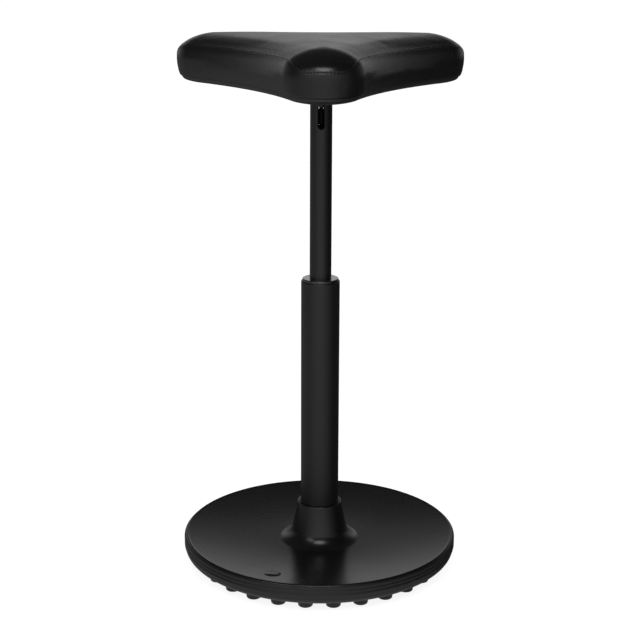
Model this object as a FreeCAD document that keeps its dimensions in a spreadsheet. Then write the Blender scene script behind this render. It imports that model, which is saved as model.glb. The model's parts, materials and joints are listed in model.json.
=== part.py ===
import FreeCAD, Part
import Sketcher
import math
import os
from FreeCAD import Rotation, Vector

# Perch stool: a three-lobed padded seat on a gas lift over a round weighted base with a nubbed
# rubber sole. Millimetres, +Z up, the floor at Z = 0, the column on the Z axis, the seat's nose
# towards -Y.

# Driving dimensions: name, number, what it is.
SIZES = (
    ("pad_d", 56.0, "centre pad, across its foot on the floor"),
    ("pad_bevel", 2.0, "centre pad, bevel round its foot"),
    ("sole_hole_d", 44.0, "hole in the middle of the sole"),
    ("sole_floor_z", 10.0, "underside of the sole, the height of its nubs"),
    ("sole_floor_t", 3.0, "rubber under the base plate"),
    ("skirt_w", 15.3, "how far the skirt reaches out past the flat underside"),
    ("skirt_top_z", 21.4, "where the skirt meets the lowest ridge"),
    ("skirt_bend", 15.5, "radius of the skirt's bulge"),
    ("ridge_valley_r", 180.3, "sole, radius in the grooves between the ridges"),
    ("ridge_pitch", 4.8, "height of one ridge"),
    ("ridge_bend", 2.6, "radius of a ridge's round back"),
    ("sole_lip", 6.3, "width of the sole's rim on top, under the dish cover"),
    ("nub_d", 18.6, "nub diameter at its foot"),
    ("nub_flare", 1.3, "how much wider a nub's radius grows up to the sole"),
    ("nub_edge", 9.7, "flat underside beyond the nubs' centres"),
    ("nub_count", 28, "nubs round the sole"),
    ("nub_round", 2.2, "rounded edge at a nub's foot"),
    ("base_turn", -0.6, "turn of the ring of nubs against the seat, degrees"),
    ("fit_gap", 0.05, "play between pieces that seat in one another"),
    ("sole_wall", 13.5, "rubber beyond the base plate's edge"),
    ("plate_t", 8.0, "base plate thickness"),
    ("plate_screw_edge", 36.8, "base screws, from the plate's edge inwards"),
    ("plate_screw_count", 6, "screws that hold the base together"),
    ("plate_screw_d", 4.0, "base screw diameter"),
    ("plate_screw_play", 0.4, "radial play of a base screw in the plate"),
    ("washer_head_d", 13.0, "washer head of a base screw"),
    ("washer_head_t", 2.0, "thickness of that head"),
    ("boss_d", 10.0, "moulded screw boss in the dish cover"),
    ("boss_top_z", 28.5, "height to which a boss runs into the cover's wall"),
    ("boss_depth", 6.5, "depth of the hole in a boss"),
    ("socket_d", 54.0, "outer diameter of the column socket"),
    ("socket_top_z", 70.0, "top of the column socket"),
    ("weld_leg", 5.0, "leg of the weld round the socket"),
    ("cover_t", 3.0, "wall of the dish cover"),
    ("cover_rib_t", 3.0, "rib that carries the cover on the base plate"),
    ("cover_ledge", 0.7, "sole's top beyond the dish cover's rim"),
    ("cover_step", 4.2, "depth of the cover's rim below the sole's top"),
    ("cover_crest_w", 4.2, "width of the rounded rim crest"),
    ("cover_crest_rise", 1.4, "height of the dish's edge above the sole"),
    ("cover_crest_bend", 2.5, "radius of the rim crest"),
    ("dish_low_r", 52.0, "radius where the dish turns up into the bell"),
    ("dish_low_z", 26.6, "height of the dish there"),
    ("dish_bend", 760.0, "radius of the shallow dish"),
    ("flare_bend", 22.0, "radius of the flare between dish and bell"),
    ("bell_low_r", 36.9, "bell radius at the top of the flare"),
    ("bell_low_z", 40.7, "height there"),
    ("bell_bend", 320.0, "radius of the bell's long hollow side"),
    ("bell_top_r", 29.4, "bell radius under its lip"),
    ("bell_top_z", 79.3, "top of the bell"),
    ("bell_lip", 2.0, "rounded lip of the bell"),
    ("bell_play", 0.3, "play between the bell's mouth and the tube"),
    ("tube_d", 50.0, "standing tube, outer diameter"),
    ("tube_wall", 2.0, "standing tube, wall"),
    ("tube_top_z", 382.0, "top of the standing tube"),
    ("tube_foot_z", 20.0, "foot of the standing tube"),
    ("tube_lip", 1.5, "rounded top edge of the standing tube"),
    ("taper_slope", 0.025, "radius lost for each millimetre down the taper"),
    ("end_plate_t", 4.0, "end plate in the tube's foot"),
    ("bush_len", 78.0, "guide bush inside the tube"),
    ("bush_collar_t", 3.0, "collar of the guide bush on top of the tube"),
    ("bush_collar_d", 46.8, "diameter of that collar"),
    ("bush_edge", 1.0, "rounded edge of that collar"),
    ("race_t", 1.5, "thickness of a bearing race"),
    ("race_d", 25.0, "diameter of a bearing race"),
    ("race_play", 0.3, "radial play of the races round the rod's neck"),
    ("bearing_ball_d", 3.0, "bearing ball"),
    ("ball_play", 0.02, "play above and below a ball"),
    ("ball_ring_d", 17.6, "pitch circle of the balls"),
    ("ball_count", 10, "balls in the cage"),
    ("cage_t", 1.4, "thickness of the ball cage"),
    ("cage_play", 0.15, "radial play of a ball in its pocket"),
    ("stop_t", 14.0, "height of the rubber stop"),
    ("stop_d", 22.0, "diameter of the rubber stop"),
    ("rod_d", 10.0, "piston rod"),
    ("rod_neck_d", 8.0, "necks at both ends of the piston rod"),
    ("rod_washer_t", 1.5, "washer under the end plate"),
    ("rod_washer_d", 19.0, "diameter of that washer"),
    ("end_play", 0.1, "play between the end plate and that washer"),
    ("clip_t", 1.0, "retaining clip"),
    ("clip_d", 13.0, "diameter of the clip"),
    ("clip_groove_d", 6.0, "bottom of the clip's groove"),
    ("clip_mouth", 5.0, "open side of the clip"),
    ("rod_tip", 2.0, "rod below the clip"),
    ("piston_rest", 5.0, "piston above the gland, seat fully up"),
    ("piston_t", 12.0, "piston"),
    ("piston_play", 0.08, "radial play of the piston in the cylinder"),
    ("seal_w", 3.0, "width of the piston seal"),
    ("seal_depth", 2.0, "depth of the groove for that seal"),
    ("nut_t", 4.0, "nut on top of the piston"),
    ("nut_d", 13.0, "width of that nut across its flats"),
    ("lift_d", 28.0, "lift tube, outer diameter"),
    ("lift_wall", 2.5, "lift tube, wall"),
    ("lift_tail", 94.0, "lift tube inside the standing tube, seat fully up"),
    ("lift_lip_t", 2.0, "rolled lip at the lift tube's foot"),
    ("lift_lip_w", 3.0, "how far that lip reaches in"),
    ("lift_play", 0.05, "radial play of the lift tube in its bush"),
    ("slot_w", 6.4, "slot in the lift tube"),
    ("slot_len", 36.5, "length of the slot"),
    ("slot_drop", 17.2, "top of the slot, inside the hub, below the seat plate"),
    ("slot_bevel", 2.4, "bevel round the slot, each side"),
    ("gland_t", 10.0, "rod gland"),
    ("gland_seal_t", 4.0, "seal on top of the gland"),
    ("gland_play", 0.05, "radial play of the rod in the gland"),
    ("cylinder_d", 22.0, "gas cylinder, outer diameter"),
    ("cylinder_wall", 1.5, "gas cylinder, wall"),
    ("head_room", 13.5, "top of the gas cylinder below the slot"),
    ("head_t", 7.0, "rim of the cylinder head"),
    ("head_spigot", 6.0, "part of the head inside the cylinder"),
    ("dome_r", 8.0, "foot radius of the domed nut on the head"),
    ("dome_rise", 6.0, "height of the dome"),
    ("head_clip_t", 1.5, "ring above the head"),
    ("head_clip_depth", 0.8, "groove for that ring in the lift tube"),
    ("head_clip_w", 3.0, "width of that ring"),
    ("valve_d", 5.0, "valve pin"),
    ("valve_play", 0.05, "radial play of the valve pin"),
    ("valve_reach", 4.0, "valve pin inside the gas cylinder"),
    ("push_rod_d", 8.0, "release rod above the valve pin"),
    ("valve_rise", 4.0, "foot of the release rod above the domed nut"),
    ("push_cup", 3.0, "depth of the cup at the foot of the release rod"),
    ("nose_gap", 0.1, "play between the lever's nose and the release rod"),
    ("lever_hang", 27.2, "lever's pin below the seat plate"),
    ("lever_arm", 24.0, "distance from the column's axis to the lever's pin"),
    ("lever_t", 5.0, "lever plate"),
    ("lever_nose", 4.0, "radius of the lever's nose"),
    ("lever_depth", 11.0, "height of the lever plate at its pin"),
    ("lever_tail", 9.0, "height of the lever plate under the grip"),
    ("lever_drop", 4.0, "how far the lever steps down towards the grip"),
    ("lever_knee_y", 40.0, "where that step begins"),
    ("lever_heel_y", 90.0, "where that step ends"),
    ("lever_end_y", 146.0, "end of the lever plate"),
    ("grip_len", 54.0, "length of the grip"),
    ("grip_w", 22.0, "width of the grip"),
    ("grip_t", 13.0, "thickness of the grip"),
    ("grip_round", 4.5, "rounded edges of the grip"),
    ("grip_wall", 6.0, "plastic beyond the lever's end"),
    ("pin_d", 5.0, "lever pin"),
    ("pin_play", 0.05, "radial play of the lever on its pin"),
    ("pin_head_d", 8.0, "head of the lever pin"),
    ("pin_head_t", 1.2, "thickness of that head"),
    ("ear_gap", 0.5, "play between the lever and an ear"),
    ("ear_t", 3.0, "ear of the lever bracket"),
    ("ear_w", 12.0, "width of an ear"),
    ("hub_d", 36.0, "hub collar"),
    ("hub_len", 20.0, "length of the hub collar"),
    ("seat_plate_t", 4.0, "steel plate under the seat board"),
    ("seat_plate_d", 170.0, "diameter of that plate"),
    ("bolt_ring_r", 68.0, "radius of the ring of bolts in that plate"),
    ("bolt_count", 4, "bolts in that plate"),
    ("bolt_d", 6.0, "bolt diameter"),
    ("bolt_head_d", 11.0, "bolt head"),
    ("bolt_head_t", 3.5, "height of a bolt head"),
    ("bolt_play", 0.3, "radial play of a bolt in the plate"),
    ("tee_flange_d", 18.0, "flange of a tee nut"),
    ("tee_flange_t", 1.2, "thickness of that flange"),
    ("tee_barrel_d", 8.0, "barrel of a tee nut"),
    ("tee_barrel_len", 7.0, "length of that barrel"),
    ("lobe_tip_r", 206.0, "seat outline, axis to the tip of a lobe"),
    ("lobe_bend", 50.0, "seat outline, radius of a lobe's end"),
    ("waist_r", 113.0, "seat outline, axis to the middle of a side"),
    ("seat_top_z", 688.0, "top of the seat"),
    ("crown_rise", 23.0, "top of the seat above the shoulder where its side turns in"),
    ("side_rise", 29.0, "that shoulder above the lower edge of the padded seat"),
    ("side_bulge", 2.3, "how far the padded side swells past the seat outline"),
    ("shoulder_pull", 1.6, "how far the shoulder is drawn in"),
    ("foot_pull", 1.0, "how far the lower edge is drawn in"),
    ("crown_round", 40.0, "width of the soft rounding round the top"),
    ("skin_t", 1.2, "cover material with its backing"),
    ("skin_fold", 16.0, "cover folded under the board"),
    ("board_t", 10.0, "seat board"),
    ("board_inset", 4.0, "board inside the seat outline"),
    ("shell_t", 2.5, "wall of the under-seat shell"),
    ("shell_gap", 0.2, "gap between the shell's rim and the cover"),
    ("shell_rim_inset", 3.0, "shell's rim inside the seat outline"),
    ("shell_floor_inset", 34.0, "flat bottom of the shell inside the seat outline"),
    ("shell_depth", 13.3, "depth of the shell"),
    ("shell_hub_play", 0.8, "gap round the hub collar"),
    ("shell_boss_r", 120.0, "radius of the ring of shell screws"),
    ("shell_boss_d", 13.0, "screw boss of the shell"),
    ("shell_recess_d", 9.0, "recess for the head of a shell screw"),
    ("shell_recess_len", 5.5, "depth of that recess"),
    ("shell_screw_d", 4.0, "shell screw"),
    ("shell_screw_len", 15.0, "shell screw under its head"),
    ("shell_head_d", 8.0, "head of a shell screw"),
    ("shell_head_t", 2.5, "height of that head"),
)

LOBES = 3
LOBE_STEP = 120.0
NOSE_ANGLE = -90.0
BORE_OVERRUN = 1.0

# How the padded side swells: share of its height, share of the swell reached there.
SIDE_LEVELS = ((0.14, 0.57), (0.4, 1.0), (0.68, 0.8))
# How the crown turns in over the shoulder: share of its rise, share of its width reached there.
CROWN_LEVELS = ((0.0, 0.0), (0.22, 0.07), (0.39, 0.15), (0.57, 0.27), (0.74, 0.45), (0.87, 0.66), (1.0, 1.0))
# How the shell curves in under the seat: share of its depth, share of its inset reached there.
TRAY_LEVELS = ((0.0, 0.0), (0.3, 0.08), (0.7, 0.35), (1.0, 1.0))

document = FreeCAD.newDocument("perch_stool")
sheet = document.addObject("Spreadsheet::Sheet", "Sizes")


class Size:
    """A size that carries both its number and the sheet formula that it comes from."""

    def __init__(self, number, formula):
        self.number = float(number)
        self.formula = formula

    def __add__(self, other):
        other = as_size(other)
        return Size(self.number + other.number, "(%s + %s)" % (self.formula, other.formula))

    def __sub__(self, other):
        other = as_size(other)
        return Size(self.number - other.number, "(%s - %s)" % (self.formula, other.formula))

    def __mul__(self, factor):
        factor = as_size(factor)
        return Size(self.number * factor.number, "(%s * %s)" % (self.formula, factor.formula))

    def __truediv__(self, factor):
        factor = as_size(factor)
        return Size(self.number / factor.number, "(%s / %s)" % (self.formula, factor.formula))

    def __neg__(self):
        return Size(-self.number, "(-1 * %s)" % self.formula)


def as_size(value):
    """A plain number as a size of its own."""
    if isinstance(value, Size):
        return value
    return Size(value, repr(value))


class Sheet:
    """The driving dimensions, each by its name."""


size = Sheet()
for row, (alias, number, meaning) in enumerate(SIZES, start=1):
    sheet.set("A%d" % row, meaning)
    sheet.set("B%d" % row, repr(number))
    sheet.setAlias("B%d" % row, alias)
    setattr(size, alias, Size(number, "Sizes.%s" % alias))
document.recompute()

# Sizes that follow from others.
size.sole_flat_r = size.ridge_valley_r - size.skirt_w
size.nub_ring_r = size.sole_flat_r - size.nub_edge
size.plate_r = size.ridge_valley_r - size.sole_wall
size.plate_screw_r = size.plate_r - size.plate_screw_edge
size.cover_rim_r = size.ridge_valley_r - size.cover_ledge
size.shoulder_z = size.seat_top_z - size.crown_rise
size.seat_foot_z = size.shoulder_z - size.side_rise
size.hub_top_z = size.seat_foot_z + size.skin_t - size.seat_plate_t
size.lever_z = size.hub_top_z - size.lever_hang
size.slot_top_z = size.hub_top_z - size.slot_drop
size.slot_foot_z = size.slot_top_z - size.slot_len
size.cylinder_top_z = size.slot_foot_z - size.head_room
size.head_top_z = size.cylinder_top_z + size.head_t
size.valve_foot_z = size.cylinder_top_z - size.valve_reach
size.push_rod_z = size.head_top_z + size.dome_rise + size.valve_rise
size.lift_foot_z = size.tube_top_z - size.lift_tail
size.gland_z = size.lift_foot_z + size.lift_lip_t
size.cylinder_foot_z = size.gland_z + size.gland_t
size.piston_z = size.cylinder_foot_z + size.piston_rest

parts = []


def finished(piece, label):
    """Give a sub-part its name and list it for writing."""
    piece.Label = label
    parts.append(piece)
    return piece


def bind(piece, **sizes):
    """Set sizes of an object from the sheet; a double underscore in a name stands for a dot."""
    for name, value in sizes.items():
        piece.setExpression(name.replace("__", "."), as_size(value).formula)


def place(piece, x=0.0, y=0.0, z=0.0):
    """Put an object at a place that follows the sheet."""
    piece.Placement = FreeCAD.Placement(
        Vector(as_size(x).number, as_size(y).number, as_size(z).number), piece.Placement.Rotation
    )
    bind(piece, Placement__Base__x=x, Placement__Base__y=y, Placement__Base__z=z)
    return piece


def cylinder(name, radius, height, x=0.0, y=0.0, z=0.0):
    """An upright cylinder."""
    piece = document.addObject("Part::Cylinder", name)
    bind(piece, Radius=radius, Height=height)
    return place(piece, x, y, z)


def cross_cylinder(name, radius, length, y, z):
    """A cylinder along X, centred on the column's plane."""
    piece = document.addObject("Part::Cylinder", name)
    piece.Placement = FreeCAD.Placement(Vector(0, 0, 0), Rotation(Vector(0, 1, 0), 90))
    bind(piece, Radius=radius, Height=length)
    return place(piece, -length / 2, y, z)


def box(name, length, width, height, x, y, z):
    """A box from its lowest corner."""
    piece = document.addObject("Part::Box", name)
    bind(piece, Length=length, Width=width, Height=height)
    return place(piece, x, y, z)


def cut(name, base, *tools):
    """The base with every tool taken away."""
    tool = tools[0] if len(tools) == 1 else fuse(name + "_tools", *tools)
    piece = document.addObject("Part::Cut", name)
    piece.Base = base
    piece.Tool = tool
    return piece


def fuse(name, *shapes):
    """Several shapes as one solid."""
    piece = document.addObject("Part::MultiFuse", name)
    piece.Shapes = list(shapes)
    return piece


def group(name, shapes):
    """Separate solids kept together as one set."""
    piece = document.addObject("Part::Compound", name)
    piece.Links = list(shapes)
    return piece


def ring(name, outer_r, inner_r, height, z):
    """A plain ring round the column's axis."""
    bore = cylinder(name + "_bore", inner_r, height + 2 * BORE_OVERRUN, z=z - BORE_OVERRUN)
    return cut(name, cylinder(name + "_blank", outer_r, height, z=z), bore)


def around(count, start_angle=0.0):
    """Evenly spaced angles round the column, in degrees."""
    return [start_angle + 360.0 * step / count for step in range(int(count))]


def on_ring(radius, angle):
    """X and Y, bound to the sheet, of a point on a ring."""
    turn = math.radians(angle)
    return radius * round(math.cos(turn), 9), radius * round(math.sin(turn), 9)


def bend_centre(start, end, radius):
    """Centre of the short arc from start to end; a positive radius has its centre on the left."""
    chord = end - start
    left = Vector(-chord.y, chord.x, 0).normalize()
    reach = math.sqrt(radius * radius - chord.Length * chord.Length / 4.0)
    return (start + end) * 0.5 + left * math.copysign(reach, radius)


def arc_between(start, end, radius):
    """The short arc between two points, drawn anticlockwise as a sketch wants it."""
    centre = bend_centre(start, end, radius)
    first, last = (start, end) if radius > 0 else (end, start)
    first_turn = math.atan2(first.y - centre.y, first.x - centre.x)
    last_turn = math.atan2(last.y - centre.y, last.x - centre.x)
    if last_turn < first_turn:
        last_turn += 2 * math.pi
    circle = Part.Circle(centre, Vector(0, 0, 1), abs(radius))
    return Part.ArcOfCircle(circle, first_turn, last_turn)


def profile(body, name, role, corners, offset=None):
    """A closed outline whose corners and bends are tied to the sheet.

    Each corner is (across, up) or (across, up, bend): a bend is the signed radius of the arc
    to the next corner.
    """
    sketch = body.newObject("Sketcher::SketchObject", name)
    plane = next(item for item in body.Origin.OriginFeatures if item.Role == role)
    sketch.AttachmentSupport = (plane, "")
    sketch.MapMode = "FlatFace"
    if offset is not None:
        sketch.AttachmentOffset = FreeCAD.Placement(
            Vector(as_size(offset[0]).number, 0, as_size(offset[1]).number), Rotation()
        )
        sketch.setExpression("AttachmentOffset.Base.x", as_size(offset[0]).formula)
        sketch.setExpression("AttachmentOffset.Base.z", as_size(offset[1]).formula)
    points = [Vector(as_size(c[0]).number, as_size(c[1]).number, 0) for c in corners]
    starts = []
    ends = []
    for index, corner in enumerate(corners):
        start = points[index]
        end = points[(index + 1) % len(points)]
        if len(corner) == 2:
            sketch.addGeometry(Part.LineSegment(start, end), False)
            starts.append((index, 1))
            ends.append((index, 2))
            continue
        bend = as_size(corner[2])
        sketch.addGeometry(arc_between(start, end, bend.number), False)
        starts.append((index, 1) if bend.number > 0 else (index, 2))
        ends.append((index, 2) if bend.number > 0 else (index, 1))
    for index, corner in enumerate(corners):
        here = starts[index]
        before = ends[index - 1]
        sketch.addConstraint(Sketcher.Constraint("Coincident", *before, *here))
    for index, corner in enumerate(corners):
        here = starts[index]
        for kind, value, axis in (("DistanceX", corner[0], -2), ("DistanceY", corner[1], -1)):
            value = as_size(value)
            if abs(value.number) < 1e-9:
                sketch.addConstraint(Sketcher.Constraint("PointOnObject", *here, axis))
                continue
            row = sketch.addConstraint(Sketcher.Constraint(kind, -1, 1, *here, value.number))
            sketch.setExpression("Constraints[%d]" % row, value.formula)
        if len(corner) == 3:
            bend = as_size(corner[2])
            bend = bend if bend.number > 0 else -bend
            row = sketch.addConstraint(Sketcher.Constraint("Radius", here[0], bend.number))
            sketch.setExpression("Constraints[%d]" % row, bend.formula)
    return sketch


def new_body(name):
    """An empty body."""
    return document.addObject("PartDesign::Body", name)


def revolve(body, sketch, name):
    """Turn an outline round the sketch's own upright axis."""
    feature = body.newObject("PartDesign::Revolution", name)
    feature.Profile = sketch
    feature.ReferenceAxis = (sketch, ["V_Axis"])
    feature.Angle = 360.0
    return feature


def turned(label, corners):
    """A sub-part turned round the column's axis from an outline in (radius, height)."""
    body = new_body(label)
    revolve(body, profile(body, label + "_outline", "XZ_Plane", corners), label + "_turning")
    return finished(body, label)


def polar_copies(body, feature, name, count):
    """Repeat a feature evenly round the column."""
    pattern = body.newObject("PartDesign::PolarPattern", name)
    pattern.Originals = [feature]
    axis = next(item for item in body.Origin.OriginFeatures if item.Role == "Z_Axis")
    pattern.Axis = (axis, [""])
    pattern.Angle = 360.0
    bind(pattern, Occurrences=count)
    body.Tip = pattern
    return pattern


sole_seat_z = size.sole_floor_z + size.sole_floor_t
plate_top_z = sole_seat_z + size.plate_t
ridge_top_z = size.skirt_top_z + size.ridge_pitch * 3
plate_bore_r = size.socket_d / 2
lip_inner_r = size.ridge_valley_r - size.sole_lip
tube_r = size.tube_d / 2
tube_bore_r = tube_r - size.tube_wall


def taper_loss(z):
    """How much smaller the tapered foot's radius is at a height."""
    return (size.bell_top_z - z) * size.taper_slope


# Base: sole, pad, plate, socket and dish cover.

base_angle = as_size(180.0) / size.nub_count + size.base_turn


def turn_base(body):
    """Turn a piece of the base so that the seat's nose stands nearly over a gap between nubs."""
    body.Placement = FreeCAD.Placement(Vector(0, 0, 0), Rotation(Vector(0, 0, 1), base_angle.number))
    body.setExpression("Placement.Rotation.Angle", base_angle.formula)
    return body


def make_sole():
    """Rubber sole: flat floor, bulging skirt, three round ridges and a ring of nubs."""
    body = new_body("sole")
    valley = size.ridge_valley_r
    ridge = size.ridge_bend
    first = size.skirt_top_z
    wall_r = size.plate_r + size.fit_gap
    corners = [
        (size.sole_hole_d / 2, size.sole_floor_z),
        (size.sole_flat_r, size.sole_floor_z, size.skirt_bend),
        (valley, first, ridge),
        (valley, first + size.ridge_pitch, ridge),
        (valley, first + size.ridge_pitch * 2, ridge),
        (valley, ridge_top_z),
        (lip_inner_r, ridge_top_z),
        (lip_inner_r, ridge_top_z - size.cover_step),
        (wall_r, ridge_top_z - size.cover_step),
        (wall_r, sole_seat_z),
        (size.sole_hole_d / 2, sole_seat_z),
    ]
    outline = profile(body, "sole_outline", "XZ_Plane", corners)
    revolve(body, outline, "sole_turning")
    nub_r = size.nub_d / 2
    nub_top = size.sole_floor_z + size.sole_floor_t / 2
    nub = profile(
        body,
        "nub_outline",
        "XZ_Plane",
        [
            (0.0, 0.0),
            (nub_r - size.nub_round, 0.0, size.nub_round),
            (nub_r, size.nub_round),
            (nub_r + size.nub_flare, size.sole_floor_z),
            (nub_r + size.nub_flare, nub_top),
            (0.0, nub_top),
        ],
        offset=(size.nub_ring_r, 0.0),
    )
    document.recompute()
    polar_copies(body, revolve(body, nub, "nub"), "nub_ring", size.nub_count)
    holes = body.newObject("Sketcher::SketchObject", "sole_hole_outline")
    plane = next(item for item in body.Origin.OriginFeatures if item.Role == "XY_Plane")
    holes.AttachmentSupport = (plane, "")
    holes.MapMode = "FlatFace"
    hole_x = size.plate_screw_r
    hole_r = size.plate_screw_d / 2 + size.plate_screw_play
    holes.addGeometry(Part.Circle(Vector(hole_x.number, 0, 0), Vector(0, 0, 1), hole_r.number))
    holes.addConstraint(Sketcher.Constraint("PointOnObject", 0, 3, -1))
    row = holes.addConstraint(Sketcher.Constraint("DistanceX", -1, 1, 0, 3, hole_x.number))
    holes.setExpression("Constraints[%d]" % row, hole_x.formula)
    row = holes.addConstraint(Sketcher.Constraint("Radius", 0, hole_r.number))
    holes.setExpression("Constraints[%d]" % row, hole_r.formula)
    document.recompute()
    pocket = body.newObject("PartDesign::Pocket", "sole_hole")
    pocket.Profile = holes
    pocket.Reversed = True
    bind(pocket, Length=sole_seat_z + BORE_OVERRUN)
    polar_copies(body, pocket, "sole_holes", size.plate_screw_count)
    return finished(turn_base(body), "sole")


def base_screw_angles():
    """Angles of the base screws, turned with the sole."""
    return around(size.plate_screw_count.number, base_angle.number)


def make_centre_pad():
    """Rubber pad under the column, plugged into the sole's hole."""
    foot_r = size.pad_d / 2
    neck_r = size.sole_hole_d / 2 - size.fit_gap
    turned(
        "centre_pad",
        [
            (0.0, 0.0),
            (foot_r, 0.0),
            (foot_r + size.pad_bevel, size.pad_bevel),
            (foot_r + size.pad_bevel, size.sole_floor_z),
            (neck_r, size.sole_floor_z),
            (neck_r, sole_seat_z),
            (0.0, sole_seat_z),
        ],
    )


def make_base_plate():
    """Steel disc that gives the base its weight."""
    height = size.plate_t + 2 * BORE_OVERRUN
    foot_z = sole_seat_z - BORE_OVERRUN
    holes = [cylinder("plate_bore", plate_bore_r, height, z=foot_z)]
    hole_r = size.plate_screw_d / 2 + size.plate_screw_play
    for index, angle in enumerate(base_screw_angles()):
        x, y = on_ring(size.plate_screw_r, angle)
        holes.append(cylinder("plate_hole_%d" % index, hole_r, height, x, y, foot_z))
    blank = cylinder("plate_blank", size.plate_r, size.plate_t, z=sole_seat_z)
    finished(cut("plate_cut", blank, *holes), "base_plate")


def make_socket():
    """Tapered socket with its weld bead, standing in the base plate."""
    outer = size.socket_d / 2
    foot_bore = tube_r - taper_loss(size.tube_foot_z) + size.fit_gap
    top_bore = tube_r - taper_loss(size.socket_top_z) + size.fit_gap
    turned(
        "column_socket",
        [
            (foot_bore, sole_seat_z),
            (outer, sole_seat_z),
            (outer, plate_top_z),
            (outer + size.weld_leg, plate_top_z),
            (outer, plate_top_z + size.weld_leg),
            (outer, size.socket_top_z),
            (top_bore, size.socket_top_z),
            (foot_bore, size.tube_foot_z),
        ],
    )


def make_dish_cover():
    """Moulded cover: a shallow dish that flares up into the bell round the tube."""
    body = new_body("dish_cover")
    wall = size.cover_t
    rim_r = size.cover_rim_r
    crest_r = rim_r - size.cover_crest_w
    mouth_r = tube_r + size.bell_play
    rib_r = size.plate_r - size.fit_gap * 2
    rib_inner_r = rib_r - size.cover_rib_t
    under_z = ridge_top_z - size.cover_step
    socket_clear_r = size.socket_d / 2 + size.bell_play
    corners = [
        (mouth_r, size.bell_top_z),
        (size.bell_top_r - size.bell_lip, size.bell_top_z, -size.bell_lip),
        (size.bell_top_r, size.bell_top_z - size.bell_lip, size.bell_bend),
        (size.bell_low_r, size.bell_low_z, size.flare_bend),
        (size.dish_low_r, size.dish_low_z, size.dish_bend),
        (crest_r, ridge_top_z + size.cover_crest_rise, -size.cover_crest_bend),
        (rim_r, ridge_top_z),
        (lip_inner_r - size.fit_gap, ridge_top_z),
        (lip_inner_r - size.fit_gap, under_z),
        (rib_r, under_z),
        (rib_r, plate_top_z),
        (rib_inner_r, plate_top_z),
        (rib_inner_r, under_z - size.fit_gap * 4, -(size.dish_bend + wall)),
        (size.dish_low_r, size.dish_low_z - wall, -(size.flare_bend + wall)),
        (size.bell_low_r - wall, size.bell_low_z),
        (socket_clear_r, size.socket_top_z - wall),
        (socket_clear_r, size.bell_top_z - wall),
        (mouth_r, size.bell_top_z - wall),
    ]
    revolve(body, profile(body, "cover_outline", "XZ_Plane", corners), "cover_turning")
    boss = profile(
        body,
        "boss_outline",
        "XZ_Plane",
        [
            (0.0, plate_top_z),
            (size.boss_d / 2, plate_top_z),
            (size.boss_d / 2, size.boss_top_z),
            (0.0, size.boss_top_z),
        ],
        offset=(size.plate_screw_r, 0.0),
    )
    document.recompute()
    polar_copies(body, revolve(body, boss, "boss"), "bosses", size.plate_screw_count)
    hole = profile(
        body,
        "boss_hole_outline",
        "XZ_Plane",
        [
            (0.0, plate_top_z - BORE_OVERRUN),
            (size.plate_screw_d / 2, plate_top_z - BORE_OVERRUN),
            (size.plate_screw_d / 2, plate_top_z + size.boss_depth),
            (0.0, plate_top_z + size.boss_depth),
        ],
        offset=(size.plate_screw_r, 0.0),
    )
    document.recompute()
    groove = body.newObject("PartDesign::Groove", "boss_hole")
    groove.Profile = hole
    groove.ReferenceAxis = (hole, ["V_Axis"])
    groove.Angle = 360.0
    polar_copies(body, groove, "boss_holes", size.plate_screw_count)
    finished(turn_base(body), "dish_cover")


def make_base_screws():
    """Washer-head screws that clamp sole, plate and cover together."""
    screws = []
    shank = size.sole_floor_t + size.plate_t + size.boss_depth - BORE_OVERRUN
    for index, angle in enumerate(base_screw_angles()):
        x, y = on_ring(size.plate_screw_r, angle)
        head_z = size.sole_floor_z - size.washer_head_t
        head = cylinder("base_head_%d" % index, size.washer_head_d / 2, size.washer_head_t, x, y, head_z)
        stem = cylinder("base_stem_%d" % index, size.plate_screw_d / 2, shank, x, y, size.sole_floor_z)
        screws.append(fuse("base_screw_%d" % index, head, stem))
    finished(group("base_screw_set", screws), "base_screws")


# Column: standing tube, bearing, rod and guide bush.

def make_stand_tube():
    """Standing tube: straight above the bell, tapered below it, with a rounded top edge."""
    foot = taper_loss(size.tube_foot_z)
    turned(
        "stand_tube",
        [
            (tube_bore_r - foot, size.tube_foot_z),
            (tube_r - foot, size.tube_foot_z),
            (tube_r, size.bell_top_z),
            (tube_r, size.tube_top_z - size.tube_lip, size.tube_lip),
            (tube_r - size.tube_lip, size.tube_top_z),
            (tube_bore_r, size.tube_top_z),
            (tube_bore_r, size.bell_top_z),
        ],
    )


race_low_z = size.tube_foot_z + size.end_plate_t
ball_foot_z = race_low_z + size.race_t + size.ball_play
race_high_z = ball_foot_z + size.bearing_ball_d + size.ball_play
rod_shoulder_z = race_high_z + size.race_t
race_bore_r = size.rod_neck_d / 2 + size.race_play
rod_washer_z = size.tube_foot_z - size.end_play - size.rod_washer_t
clip_z = rod_washer_z - size.clip_t


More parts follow.
